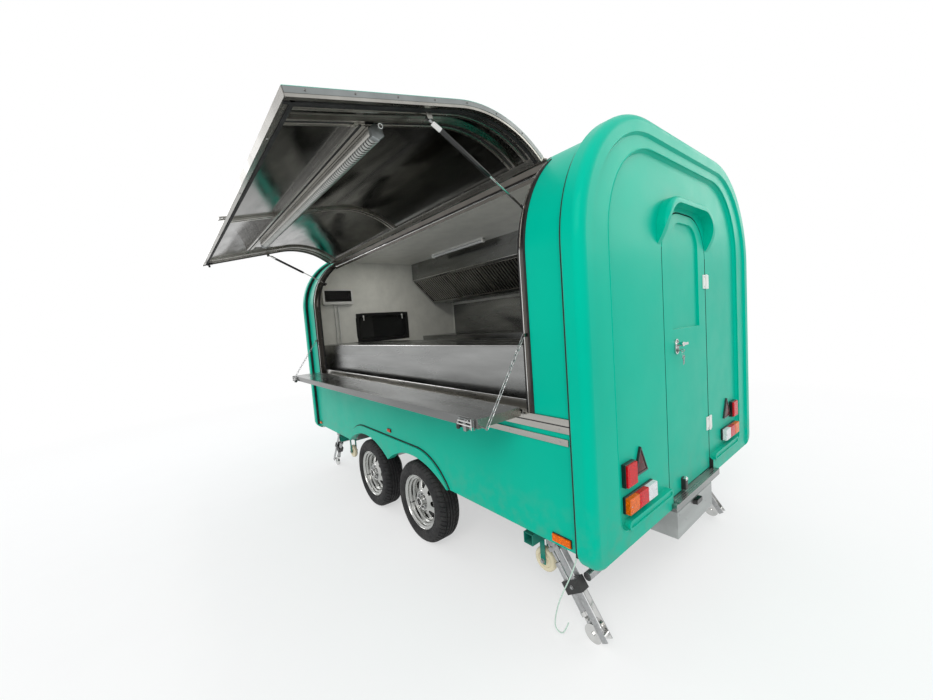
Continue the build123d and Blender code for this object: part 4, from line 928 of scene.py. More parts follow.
# Radius, height from the middle, and share of the cross grooves' depth; the other half mirrors it
TYRE_OUTLINE = (
    (0.1785, 0.0600, 0), (0.1860, 0.0690, 0), (0.1970, 0.0712, 0), (0.2000, 0.0772, 0),
    (0.2030, 0.0800, 0), (0.2060, 0.0786, 0), (0.2120, 0.0826, 0), (0.2220, 0.0850, 0),
    (0.2228, 0.0860, 0), (0.2250, 0.0860, 0), (0.2258, 0.0852, 0), (0.2400, 0.0868, 0),
    (0.2408, 0.0876, 0), (0.2430, 0.0876, 0), (0.2438, 0.0868, 0), (0.2520, 0.0866, 0),
    (0.2610, 0.0843, 0), (0.2680, 0.0808, 0), (0.2700, 0.0812, 0.2), (0.2740, 0.0788, 0.7),
    (0.2800, 0.0725, 1), (0.2855, 0.0655, 1), (0.2893, 0.0585, 1), (0.2910, 0.0520, 1),
    (0.2916, 0.0412, 1), (0.2840, 0.0400, 0), (0.2840, 0.0330, 0), (0.2918, 0.0318, 0.6),
    (0.2920, 0.0152, 0.6), (0.2840, 0.0140, 0), (0.2840, 0.0070, 0), (0.2920, 0.0060, 0))
# Radius and height of the barrel's skin: up its open side, and back along the tyre
BARREL_OUTLINE = (
    (0.1946, 0.0712), (0.1958, 0.0732), (0.1948, 0.0750), (0.1925, 0.0748), (0.1905, 0.0722),
    (0.1888, 0.0680), (0.1800, 0.0660), (0.1768, 0.0642), (0.1756, 0.0600), (0.1750, 0.0525),
    (0.1728, 0.0503), (0.1650, 0.0488), (0.1625, 0.0470), (0.1616, 0.0430), (0.1610, 0.0285),
    (0.1590, 0.0264), (0.1552, 0.0254), (0.1532, 0.0232), (0.1526, 0.0050), (0.1520, -0.0200),
    (0.1560, -0.0250), (0.1650, -0.0450), (0.1720, -0.0640), (0.1862, -0.0702), (0.1925, -0.0748),
    (0.1950, -0.0735), (0.1945, -0.0706), (0.1800, -0.0650), (0.1778, -0.0600), (0.1700, -0.0430),
    (0.1580, -0.0200), (0.1562, 0.0100), (0.1600, 0.0215), (0.1650, 0.0300), (0.1660, 0.0420),
    (0.1700, 0.0460), (0.1778, 0.0500), (0.1786, 0.0650), (0.1850, 0.0690))
# The same of the disc's sheet, the hub cap, the cap's dark face and the drum behind the disc
DISC_OUTLINE = (
    (0.0305, 0.0440), (0.0420, 0.0445), (0.0570, 0.0445), (0.0610, 0.0460), (0.0640, 0.0505),
    (0.0690, 0.0510), (0.0725, 0.0490), (0.0780, 0.0425), (0.0870, 0.0392), (0.0900, 0.0382),
    (0.1020, 0.0345), (0.1150, 0.0295), (0.1280, 0.0245), (0.1400, 0.0200), (0.1440, 0.0185),
    (0.1500, 0.0165), (0.1545, 0.0150))
HUB_CAP = (
    (0.0375, 0.0430), (0.0382, 0.0500), (0.0378, 0.0555), (0.0350, 0.0565), (0.0350, 0.0585),
    (0.0366, 0.0596), (0.0360, 0.0715), (0.0338, 0.0762), (0.0295, 0.0778), (0.0262, 0.0765),
    (0.0250, 0.0700), (0.0248, 0.0590))
CAP_FACE = ((ON_AXIS, 0.0600), (0.0150, 0.0605), (0.0245, 0.0595), (0.0245, 0.0560), (ON_AXIS, 0.0560))
BRAKE_DRUM = ((0.0360, 0.0000), (0.1380, -0.0040), (0.1410, -0.0080), (0.1410, -0.0560), (0.0360, -0.0600))
# Share of a tread pitch, and 1 where a cross groove lies
TREAD_STATIONS = ((0.0, 0), (0.39, 0), (0.78, 0), (0.82, 1), (0.96, 1))
TREAD_EDGE, TREAD_SLANT = 0.268, 1.4
# Radii between which the disc is open, and shares of half a window and of the sheet beside it
WINDOW_RADII = (0.089, 0.139)
WINDOW_SHARES = (-1, -0.4, 0.4, 1)
SHEET_SHARES = (0.25, 0.5, 0.75)
BOLT_CIRCLE = 0.05


def add_tyre(bm, place, pitches, depth):
    """Tyre with ribs, slanting cross grooves and sidewall rings."""
    outline = TYRE_OUTLINE + tuple((r, -h, lug) for r, h, lug in reversed(TYRE_OUTLINE))
    rings = []
    for i in range(pitches):
        for share, low in TREAD_STATIONS:
            ring = []
            for r, h, lug in outline:
                angle = 2 * math.pi * (i + share) / pitches + abs(h) * (TREAD_SLANT if r > TREAD_EDGE else 0)
                ring.append(bm.verts.new(place @ polar(r - depth * lug * low, angle, h)))
            rings.append(ring)
    join_rings(bm, rings, closed=True)


def add_disc(bm, place, spokes):
    """Dished wheel disc, one sheet thick, with a window in each of its sectors."""
    rings = []
    sector = 2 * math.pi / spokes
    for r, h in DISC_OUTLINE:
        spread = min(max((r - 0.088) / 0.056, 0), 1)
        window = math.atan((0.011 + 0.022 * spread) / r)
        stations = [window * share for share in WINDOW_SHARES]
        stations += [window + (sector - 2 * window) * share for share in SHEET_SHARES]
        angles = [i * sector + station for i in range(spokes) for station in stations]
        rings.append([bm.verts.new(place @ polar(r, angle, h)) for angle in angles])
    count = len(rings[0])
    per_sector = count // spokes
    low, high = WINDOW_RADII
    for (r, h), here, there in zip(DISC_OUTLINE, rings, rings[1:]):
        for j in range(count):
            if low < r < high and j % per_sector < len(WINDOW_SHARES) - 1:
                continue
            k = (j + 1) % count
            bm.faces.new((here[j], there[j], there[k], here[k]))
    ends = set(rings[0]) | set(rings[-1])
    rims = [e for e in bm.edges if len(e.link_faces) == 1 and not ends.issuperset(e.verts)]
    made = bmesh.ops.extrude_edge_only(bm, edges=rims)["geom"]
    inward = -(place.to_3x3() @ Vector((0, 0, 0.008)))
    bmesh.ops.translate(bm, vec=inward, verts=[v for v in made if isinstance(v, bmesh.types.BMVert)])


class DressWheels(bpy.types.Operator):
    """Tyres, plated wheels, hub caps and axles"""
    bl_idname = "trailer.dress_wheels"
    bl_label = "Wheels and axles"

    def execute(self, context):
        settings = context.scene.trailer_wheels
        for end, x in AXLES.items():
            for side, sign in SIDES.items():
                place = (Matrix.Translation(at(x, sign * WHEEL_Y, TYRE_RADIUS))
                         @ Matrix.Rotation(math.radians(-90 * sign), 4, "X"))
                body = NODE_BODY[f"tyre_{end}_{side}"]
                bm = bmesh.new()
                add_tyre(bm, place, settings.pitches, settings.groove)
                piece_of(f"tread_{end}_{side}", bm, "tyre", body, "tyre", (f"tyre_{end}_{side}",), sharp=38)
                disc = bmesh.new()
                add_disc(disc, place, settings.spokes)
                piece_of(f"disc_{end}_{side}", disc, "rim", body, "rim_chrome", (f"rim_{end}_{side}",),
                         levels=1, thick=0.0038, sharp=60)
                rim = Batch(f"rim_{end}_{side}", body)
                add_turned(rim["rim"], BARREL_OUTLINE, place, 72, closed=True)
                for finish, outline, sides in (
                        ("black", BRAKE_DRUM, 48), ("chrome", HUB_CAP, 40), ("black", CAP_FACE, 30)):
                    add_turned(rim[finish], outline, place, sides)
                for i in range(settings.nuts):
                    angle = 2 * math.pi * (i + 0.5) / settings.nuts
                    seat = place @ Matrix.Translation(polar(BOLT_CIRCLE, angle, 0.0440))
                    add_nut(rim["zinc"], seat, 0.0165, 0.0135)
                valve = place @ Matrix.Rotation(math.pi / settings.spokes, 4, "Z")
                stem = [valve @ Vector(point) for point in ((0.158, 0, 0.028), (0.150, 0, 0.062))]
                add_rod(rim["black"], *stem, 0.0042, 0.0030, 12)
                rim.make(sharp=30)
        dress("axles", "zinc", 0.002)
        return {"FINISHED"}


# Chassis

def leg_frame(end, side):
    """Pivot of a leg, the direction down along it, the offset of its rod, and its length."""
    sign, y = ENDS[end], LEG_Y[(end, side)]
    pivot = at(sign * LEG_PIVOT[0], y, LEG_PIVOT[1])
    run = at(sign * LEG_TIP[0], y, LEG_TIP[1]) - pivot
    down = run.normalized()
    return pivot, down, Vector((0, sign, 0)).cross(down) * LEG_ASIDE, run.length


class DressChassis(bpy.types.Operator):
    """Chassis, castors, corner legs, drawbar gear and plate box"""
    bl_idname = "trailer.dress_chassis"
    bl_label = "Chassis and legs"

    def execute(self, context):
        dress("chassis", "chassis", 0.0025)
        for node in ("leg_mounts", "jockey_stem"):
            dress(node, "zinc", 0.0015)
        dress("coupling_head", ["zinc", "black"], 0.002, lambda p, n: 1 if p.z > 0.525 else 0)
        dress("jockey_clamp", ["zinc", "black"], 0.0015, lambda p, n: 1 if p.z > 0.787 else 0)
        hub = Vector((JOCKEY_HUB[0] + BODY_X, JOCKEY_HUB[1]))
        dress("jockey_wheel", ["tyre", "zinc"], 0.003,
              lambda p, n: 1 if math.hypot(p.x - hub.x, p.z - hub.y) < 0.066 else 0)
        self.add_castors()
        self.add_legs()
        self.add_plate_box()
        return {"FINISHED"}

    def add_castors(self):
        """Nylon wheels with a hollow web, and the nuts on their axle bolts."""
        half = [(0.0082, 0.018), (0.0195, 0.018), (0.0205, 0.0165), (0.0215, 0.0120), (0.0405, 0.0115),
                (0.0425, 0.0172), (0.0435, 0.0180), (0.0560, 0.0180), (0.0605, 0.0168), (0.0645, 0.0125),
                (0.0660, 0.0050)]
        outline = half + [(r, -h) for r, h in reversed(half)]
        bolts = Batch("castor_bolts")
        for end, x in OUTRIGGER_X.items():
            for side, sign in SIDES.items():
                bm = bmesh.new()
                add_turned(bm, outline, facing(at(x, sign * CASTOR_Y, CASTOR_Z), LEFT), 48, closed=True)
                node = f"castor_{end}_{side}"
                piece_of(node + "_wheel", bm, "nylon", NODE_BODY[node], NODE_SLOT[node], (node,), sharp=40)
                for face in (-1, 1):
                    place = facing(at(x, sign * CASTOR_Y + face * 0.030, CASTOR_Z), (0, face, 0))
                    add_nut(bolts["zinc"], place, 0.019, 0.009)
        bolts.make(bevel=0.0006)

    def add_legs(self):
        """Legs with a black sleeve and a plated screw, and their thread, collars and nuts."""
        for (end, side), y in LEG_Y.items():
            pivot, down, aside, length = leg_frame(end, side)

            def zone(point, normal, pivot=pivot, down=down, length=length):
                share = (point - pivot).dot(down) / length
                if 0.395 < share < 0.535:
                    return 1
                return 2 if share > 0.83 else 0

            node = f"leg_{end}_{side}"
            dress(node, ["zinc", "black", "chrome"], 0.0012, zone)
            parts = Batch(node + "_parts", NODE_BODY[node])
            lower = pivot + aside + down * (length * 0.742)
            foot = at(ENDS[end] * 1.682, y, 0.045)
            run = foot - lower
            thread = [(0.0101, 0.0)]
            for i in range(int((run.length - 0.05) / 0.004)):
                thread += [(0.0118, i * 0.004 + 0.0014), (0.0102, i * 0.004 + 0.0034)]
            add_turned(parts["chrome"], thread, facing(lower, run), 16)
            for share in (0.24, 0.47, 0.735):
                add_turned(parts["chrome" if share > 0.5 else "zinc"],
                           [(0.0172, -0.010), (0.0200, -0.009), (0.0200, 0.009), (0.0172, 0.010)],
                           facing(pivot + aside + down * (length * share), down), 24, closed=True)
            head = pivot + aside + down * (length * 0.062)
            add_nut(parts["zinc"], facing(head, -down), 0.019, 0.014)
            clamp = pivot + aside * 0.42 + down * (length * 0.465)
            for face in (-1, 1):
                for finish, point, out, size, height in (
                        ("zinc", pivot, 0.0225, 0.017, 0.006), ("chrome", foot, 0.011, 0.016, 0.005),
                        ("zinc", clamp, 0.027, 0.014, 0.005)):
                    place = facing(point + Vector((0, face * out, 0)), (0, face, 0))
                    add_nut(parts[finish], place, size, height)
            parts.make()

    def add_plate_box(self):
        """Plate box with its bumper, clear strip and screws."""
        dress("plate_box", ["plate", "black"], 0.001,
              lambda p, n: 1 if p.x - BODY_X < -CAP_BACK - 0.0005 else 0)
        fittings = Batch("plate_fittings")
        add_prism(fittings["gloss_black"], arch_outline(0.043, 0.397, 0.427, 0.014, 0.006),
                  (-CAP_BACK + 0.001, -CAP_BACK - 0.023), 0.9)
        add_prism(fittings["clear"], arch_outline(0.030, 0.3935, 0.399, 0.0025, 0.0025),
                  (-CAP_BACK - 0.003, -CAP_BACK - 0.018))
        for y in (-0.235, 0.235):
            for z in (0.300, 0.408):
                add_screw(fittings["zinc"], facing(at(-CAP_BACK, y, z), BACK), 0.004, 0.002)
        fittings.make(bevel=0.001)


# Serving side

class DressOpening(bpy.types.Operator):
    """Frame of the serving opening, its seals, and the rails under it"""
    bl_idname = "trailer.dress_opening"
    bl_label = "Serving opening"

    def execute(self, context):
        # The jambs take the darkened, browned steel: painted reflection and shade.
        dress("opening_frame", "steel_up", 0.001)
        dress("sill_rails", "aluminium", 0.001)
        trim = Batch("opening_trim")
        sheet = OPENING_HALF - JAMB_SHEET
        for sign in ENDS.values():
            for finish, near, far, insets in (
                    ("seal", OPENING_HALF - 0.003, OPENING_HALF + 0.0085, (-0.004, 0.003)),
                    ("black", OPENING_HALF - 0.0125, OPENING_HALF - 0.0105, (-0.0006, 0.002)),
                    ("chrome", sheet - 0.0012, sheet + 0.003, (-0.0016, 0.004)),
                    ("seal", OPENING_HALF - 0.0714, OPENING_HALF - 0.065, (0.0355, 0.0475))):
                add_skin_band(trim[finish], mirrored(sign, near, far), insets, RAIL_TOP, HINGE_ANGLE - 1.6)
            for z in (1.20, 1.50, 1.80):
                place = facing(at(sign * (sheet - 0.022), HALF_WIDTH - 0.0362, z), LEFT)
                add_screw(trim["zinc"], place, 0.0042, 0.002)
        self.add_header(trim)
        self.add_rail_trim(trim)
        trim.make()
        return {"FINISHED"}

    def add_header(self, trim):
        """Bright lip and rubber along the header, where the hatch shuts against it."""
        for finish, angle, inset, radius in (("chrome", 51.2, 0.036, 0.0050), ("seal", 52.6, 0.034, 0.0045)):
            turn = math.radians(angle)
            y = ARC_Y + (CORNER_RADIUS - inset) * math.cos(turn)
            z = ARC_Z + (CORNER_RADIUS - inset) * math.sin(turn)
            add_bar(trim[finish], (-LIP_HALF, LIP_HALF), y, z, radius, 10)

    def add_rail_trim(self, trim):
        """Dark insert in the rail's groove, end pieces, screws and the sill's bright lip."""
        face_y = HALF_WIDTH + 0.008
        add_box(trim["black"], (-1.729, 1.729), (face_y - 0.0042, face_y - 0.0022),
                (RAIL_BOTTOM + 0.0302, RAIL_BOTTOM + 0.0348))
        for sign in ENDS.values():
            add_box(trim["black"], mirrored(sign, 1.7195, 1.7335), (HALF_WIDTH - 0.004, face_y + 0.003),
                    (RAIL_BOTTOM - 0.003, RAIL_TOP + 0.003))
        screws = 12
        for i in range(screws):
            x = -1.66 + i * 3.32 / (screws - 1)
            for y, z in ((face_y, RAIL_BOTTOM + 0.015), (HALF_WIDTH + 0.007, 1.010)):
                add_screw(trim["zinc"], facing(at(x, y, z), LEFT), 0.004, 0.0018)
        add_bar(trim["chrome"], (-LIP_HALF, LIP_HALF), INNER_Y + 0.007, 1.1625, 0.0028, 10)


def hatch_zone(point, normal):
    """Which finish a face of the hatch's frame takes: its sheet edges, lining or ribs."""
    shut = OPEN_TO_SHUT @ point
    depth = depth_in_body(shut)
    if 0.010 < depth < 0.0135:
        return 1
    return 2 if 0.0135 <= depth < 0.026 and abs(shut.x - BODY_X) < 1.445 else 0


class DressHatch(bpy.types.Operator):
    """Lift-up hatch, its lining, edge profile, light and gas struts"""
    bl_idname = "trailer.dress_hatch"
    bl_label = "Hatch"

    def execute(self, context):
        trim = context.scene.trailer_trim
        copied("hatch_skin", "paint")
        # The lining faces take the darkened polished steel: painted shade.
        dress("hatch_frame", ["aluminium", "lining", "rib"], 0.0008, hatch_zone)
        parts = Batch("hatch_trim", "hatch")
        self.add_ribs(parts)
        self.add_edges(parts, trim.rivet_pitch)
        parts.make()
        self.add_light(trim.flute)
        self.add_struts()
        return {"FINISHED"}

    def add_ribs(self, parts):
        """Lips and middle groove of each pressed rib, and of the beam along the hatch."""
        low, top = HATCH_LOW + 0.041, HINGE_ANGLE - 5.2
        for x in RIB_X:
            for finish, near, far, insets in (
                    ("lip", -RIB_HALF - 0.002, -RIB_HALF + 0.010, (0.0125, 0.0262)),
                    ("lip", RIB_HALF - 0.010, RIB_HALF + 0.002, (0.0125, 0.0262)),
                    ("seal", -0.005, 0.005, (0.0200, 0.0247))):
                add_skin_band(parts[finish], (x + near, x + far), insets, low, top, SHUT_TO_OPEN)
        for finish, near, far, proud in (
                ("aluminium", -0.024, -0.018, 0.002), ("aluminium", 0.018, 0.0235, 0.002),
                ("seal", -0.006, 0.006, 0.0007)):
            y, z = (RIB_FACE - proud, RIB_FACE + 0.006), (BEAM_Z + near, BEAM_Z + far)
            add_box(parts[finish], BEAM_X, y, z, SHUT_TO_OPEN)
        for x in (-1.29, -0.66, 0.03, 0.50, 0.97):
            place = SHUT_TO_OPEN @ facing(at(x, RIB_FACE, BEAM_Z - 0.013), RIGHT)
            add_screw(parts["zinc"], place, 0.004, 0.002)

    def add_edges(self, parts, pitch):
        """Rim profile with its rivets, the rubber inside it, the pull loop and the catch."""
        for sign in ENDS.values():
            for finish, near, far, insets in (
                    ("aluminium", HATCH_HALF - 0.018, HATCH_HALF + 0.0008, (0.0295, 0.0318)),
                    ("pale", HATCH_HALF - 0.0005, HATCH_HALF + 0.0014, (0.0020, 0.0205)),
                    ("seal", HATCH_HALF - 0.038, HATCH_HALF - 0.024, (0.0290, 0.0345))):
                add_skin_band(parts[finish], mirrored(sign, near, far), insets, HATCH_LOW + 0.001,
                              HINGE_ANGLE - 2.2, SHUT_TO_OPEN)
            path = skin_path(0.011, HATCH_LOW, HINGE_ANGLE - 3, 24)
            left = pitch * 0.4
            for (y0, z0), (y1, z1) in zip(path, path[1:]):
                run = math.hypot(y1 - y0, z1 - z0)
                while left < run:
                    share = left / run
                    point = at(sign * (HATCH_HALF + 0.0013), y0 + (y1 - y0) * share, z0 + (z1 - z0) * share)
                    add_screw(parts["dark_steel"], SHUT_TO_OPEN @ facing(point, (sign, 0, 0)), 0.0040, 0.0024)
                    left += pitch
                left -= run
        catch_x = HATCH_HALF - 0.09
        for finish, x, (deep, shallow), (low, high) in (
                ("seal", (-HATCH_HALF + 0.024, HATCH_HALF - 0.024), (0.0345, 0.029), (0.022, 0.036)),
                ("aluminium", (-HATCH_HALF, HATCH_HALF), (0.0318, 0.0295), (0.0, 0.018)),
                ("rib", (-HATCH_HALF, HATCH_HALF), (0.0315, 0.002), (-0.002, 0.001)),
                ("black", (catch_x - 0.022, catch_x + 0.022), (0.044, 0.031), (0.024, 0.068)),
                ("black", (catch_x - 0.009, catch_x + 0.009), (0.064, 0.040), (0.030, 0.044))):
            y, z = (HALF_WIDTH - deep, HALF_WIDTH - shallow), (HATCH_LOW + low, HATCH_LOW + high)
            add_box(parts[finish], x, y, z, SHUT_TO_OPEN)
        for x in (-1.2, -0.6, 0.25, 0.85, 1.3):
            place = SHUT_TO_OPEN @ facing(at(x, HALF_WIDTH - 0.0318, HATCH_LOW + 0.010), RIGHT)
            add_screw(parts["zinc"], place, 0.004, 0.002)
        half = [(0.026, 0.0), (0.027, -0.016), (0.020, -0.025)]
        loop = [(-x, z) for x, z in half] + half[::-1]
        pull = [SHUT_TO_OPEN @ at(-0.1 + x, HALF_WIDTH - 0.017, HATCH_LOW + 0.004 + z) for x, z in loop]
        add_tube(parts["zinc"], pull, 0.0036, 10)

    def add_light(self, flute):
        """Metal light housing with its fluted diffuser, end caps and hanger plates."""
        light = Batch("hatch_light", "hatch")
        mid_y, mid_z = HALF_WIDTH - 0.070, BEAM_Z + 0.053
        low, high = LIGHT_X
        shell = (
            (0.033, -0.027), (0.033, 0.027), (0.010, 0.029), (0.0, 0.024), (0.0, -0.024), (0.010, -0.029))
        rings = []
        for x in (low + 0.012, high - 0.012):
            points = (SHUT_TO_OPEN @ at(x, mid_y + y, mid_z + z) for y, z in shell)
            rings.append([light["aluminium"].verts.new(point) for point in points])
        join_rings(light["aluminium"], rings)
        flutes = int((high - low - 0.06) / flute)
        step = (high - low - 0.06) / flutes
        place = SHUT_TO_OPEN @ facing(at(low + 0.03, mid_y + 0.001, mid_z), AHEAD)
        add_turned(light["black"], [(0.0205, 0.0), (0.0205, flutes * step)], place, 20)
        for i in range(flutes):
            start, end = i * step, i * step + step * 0.5
            outline = ((0.0195, start), (0.0238, start + 0.002), (0.0238, end), (0.0195, end + 0.002))
            add_turned(light["fluted"], outline, place, 16)
        for x, sign in ((low, -1), (high, 1)):
            cap = SHUT_TO_OPEN @ facing(at(x, mid_y + 0.006, mid_z), (sign, 0, 0))
            outline = ((ON_AXIS, 0.0), (0.0290, -0.001), (0.0325, -0.004), (0.0330, -0.010),
                       (0.0330, -0.016), (0.0270, -0.018), (0.0270, -0.036), (ON_AXIS, -0.036))
            add_turned(light["pale"], outline, cap, 6)
            grommet = []
            for a in round_angles(16):
                y, z = mid_y + 0.026 + 0.009 * math.cos(a), mid_z + 0.020 + 0.009 * math.sin(a)
                grommet.append(SHUT_TO_OPEN @ at(x + sign * 0.001, y, z))
            add_tube(light["white"], grommet, 0.0022, 8, closed=True)
        for x in (low + 0.12, 0.22, high - 0.06):
            add_box(light["aluminium"], (x - 0.020, x + 0.020), (HALF_WIDTH - 0.040, HALF_WIDTH - 0.012),
                    (BEAM_Z + 0.030, BEAM_Z + 0.076), SHUT_TO_OPEN)
        light.make(("hatch_light",), bevel=0.0008)

    def add_struts(self):
        """Gas cylinder with its label sleeve and gland, polished rod, and the ball sockets at both ends."""
        for end, sign in ENDS.items():
            top = SHUT_TO_OPEN @ at(sign * STRUT_X, *STRUT_TOP)
            foot = at(sign * STRUT_X, *STRUT_FOOT)
            run = (foot - top).normalized()
            tube = Batch(f"strut_{end}", f"strut_tube_{end}")
            place = facing(top, run)
            for finish, outline, sides in (
                    ("gloss_black", ((0.0052, 0.066), (0.0109, 0.067), (0.0110, STRUT_TUBE - 0.012),
                                     (0.0098, STRUT_TUBE - 0.006), (0.0098, STRUT_TUBE),
                                     (0.0052, STRUT_TUBE)), 28),
                    ("chrome", ((0.0052, 0.022), (0.0095, 0.023), (0.0112, 0.026), (0.0113, 0.066),
                                (0.0052, 0.067)), 28),
                    ("black", ((0.0052, STRUT_TUBE - 0.004), (0.0084, STRUT_TUBE - 0.003),
                               (0.0080, STRUT_TUBE + 0.004), (0.0053, STRUT_TUBE + 0.005)), 24)):
                add_turned(tube[finish], outline, place, sides, closed=True)
            add_rod(tube["zinc"], top + run * 0.004, top + run * 0.024, 0.0050)
            add_turned(tube["black"], ((0.0042, -0.0048), (0.0085, -0.0046), (0.0094, 0.0), (0.0085, 0.0046),
                                       (0.0042, 0.0048)), facing(top, AHEAD), 24, closed=True)
            tube.make((f"strut_tube_{end}",))
            rod = Batch(f"rod_{end}", f"strut_rod_{end}")
            add_rod(rod["chrome"], top + run * (STRUT_TUBE - 0.04), foot - run * 0.022, 0.0049, segments=24)
            add_rod(rod["black"], foot - run * 0.030, foot - run * 0.004, 0.0062, 0.0082, 20)
            add_turned(rod["black"], ((0.0005, -0.0049), (0.0080, -0.0046), (0.0094, 0.0), (0.0080, 0.0046),
                                      (0.0005, 0.0049)), facing(foot, AHEAD), 24)
            rod.make((f"strut_rod_{end}",))


class DressShelf(bpy.types.Operator):
    """Folding shelf, its corner latches and chains"""
    bl_idname = "trailer.dress_shelf"
    bl_label = "Shelf"

    def execute(self, context):
        # Steel on top, its darker copy underneath as painted shade, and lighter aluminium on the ends as
        # painted light.
        dress("shelf_board", ["steel", "steel_edge", "aluminium"], 0.0014, self.shelf_zone)
        parts = Batch("shelf_parts", "shelf")
        for sign in ENDS.values():
            self.add_latch(parts, sign)
        for i in range(9):
            x = -1.36 + i * 0.34
            add_screw(parts["zinc"], facing(at(x, SHELF_Y[0] + 0.014, SHELF_TOP), UP), 0.0045, 0.0016)
        parts.make(bevel=0.0008)
        for end, sign in ENDS.items():
            self.add_chain(end, sign, context.scene.trailer_trim.link_wire)
        return {"FINISHED"}

    def shelf_zone(self, point, normal):
        """Bright steel on the board's top and outer lip; the other faces take a darker copy of it as painted
        shade underneath, and the ends take lighter aluminium as painted light.
        """
        if normal.z > 0.5 or point.y - BODY_Y > SHELF_Y[1] + 0.0008:
            return 0
        return 2 if abs(normal.x) > 0.7 else 1

    def add_latch(self, parts, sign):
        """Draw latch on the shelf's corner: base plate, end cheek, two bars, wire bail and rubber knob."""
        face = SHELF_Y[1]
        place = Matrix.Translation(at(sign * SHELF_HALF, face, 0)) @ Matrix.Diagonal((-sign, 1, 1, 1))
        for finish, near, far, (back, front), z in (
                ("pale", 0.128, 0.022, (0.0045, 0.0072), (SHELF_LOW + 0.004, SHELF_TOP - 0.006)),
                ("chrome", 0.028, 0.023, (0.005, 0.019), (SHELF_LOW - 0.006, SHELF_TOP + 0.001))):
            x = mirrored(sign, SHELF_HALF - near, SHELF_HALF - far)
            add_box(parts[finish], x, (face + back, face + front), z)
        for z, radius in ((SHELF_TOP - 0.017, 0.0034), (SHELF_LOW + 0.010, 0.0042)):
            add_tube(parts["chrome"], [place @ Vector((x, 0.0150, z)) for x in (0.028, 0.122)], radius, 12)
        arch = [(0.060 + 0.012 * math.cos(a), SHELF_TOP - 0.017 + 0.013 * math.sin(a))
                for a in (math.pi * i / 8 for i in range(9))]
        add_tube(parts["zinc"], [place @ Vector((x, 0.0160, z)) for x, z in arch], 0.0026)
        knob = facing(place @ Vector((0.124, 0.0130, SHELF_LOW + 0.010)), DOWN)
        for finish, outline in (
                ("zinc", ((ON_AXIS, -0.010), (0.0052, -0.008), (0.0070, -0.002), (0.0052, 0.004),
                          (ON_AXIS, 0.005))),
                ("black", ((ON_AXIS, 0.003), (0.0070, 0.003), (0.0092, 0.008), (0.0098, 0.020),
                           (0.0075, 0.025), (ON_AXIS, 0.026)))):
            add_turned(parts[finish], outline, knob, 20)
        for near, z in ((0.118, SHELF_TOP - 0.011), (0.118, SHELF_LOW + 0.022), (0.036, SHELF_TOP - 0.029)):
            seat = facing(at(sign * (SHELF_HALF - near), face + 0.0072, z), LEFT)
            add_screw(parts["zinc"], seat, 0.0032, 0.0016)

    def add_chain(self, end, sign, wire):
        """Straight run of oval links, each a quarter turn from the last."""
        top, eye = at(sign * CHAIN_X, *CHAIN_TOP), at(sign * CHAIN_X, *CHAIN_EYE)
        along = (eye - top).normalized()
        pitch = ((eye - top).length + 2 * CHAIN_HOLE) / CHAIN_LINKS
        across = Vector(AHEAD)
        chain = Batch(f"chain_{end}", f"chain_{end}")
        bend = 0.0068
        straight = pitch / 2 + 0.0025 - bend
        for i in range(CHAIN_LINKS):
            middle = top + along * ((i + 0.5) * pitch - CHAIN_HOLE)
            side = across if i % 2 else along.cross(across)
            points = []
            for half in (1, -1):
                for j in range(8):
                    angle = math.pi * (j + 0.5) / 8 - math.pi / 2
                    point = middle + along * half * (straight + bend * math.cos(angle))
                    points.append(point + side * half * bend * math.sin(angle))
            add_tube(chain["zinc"], points, wire, 8, closed=True)
        chain.make((f"chain_{end}",))


# Rear

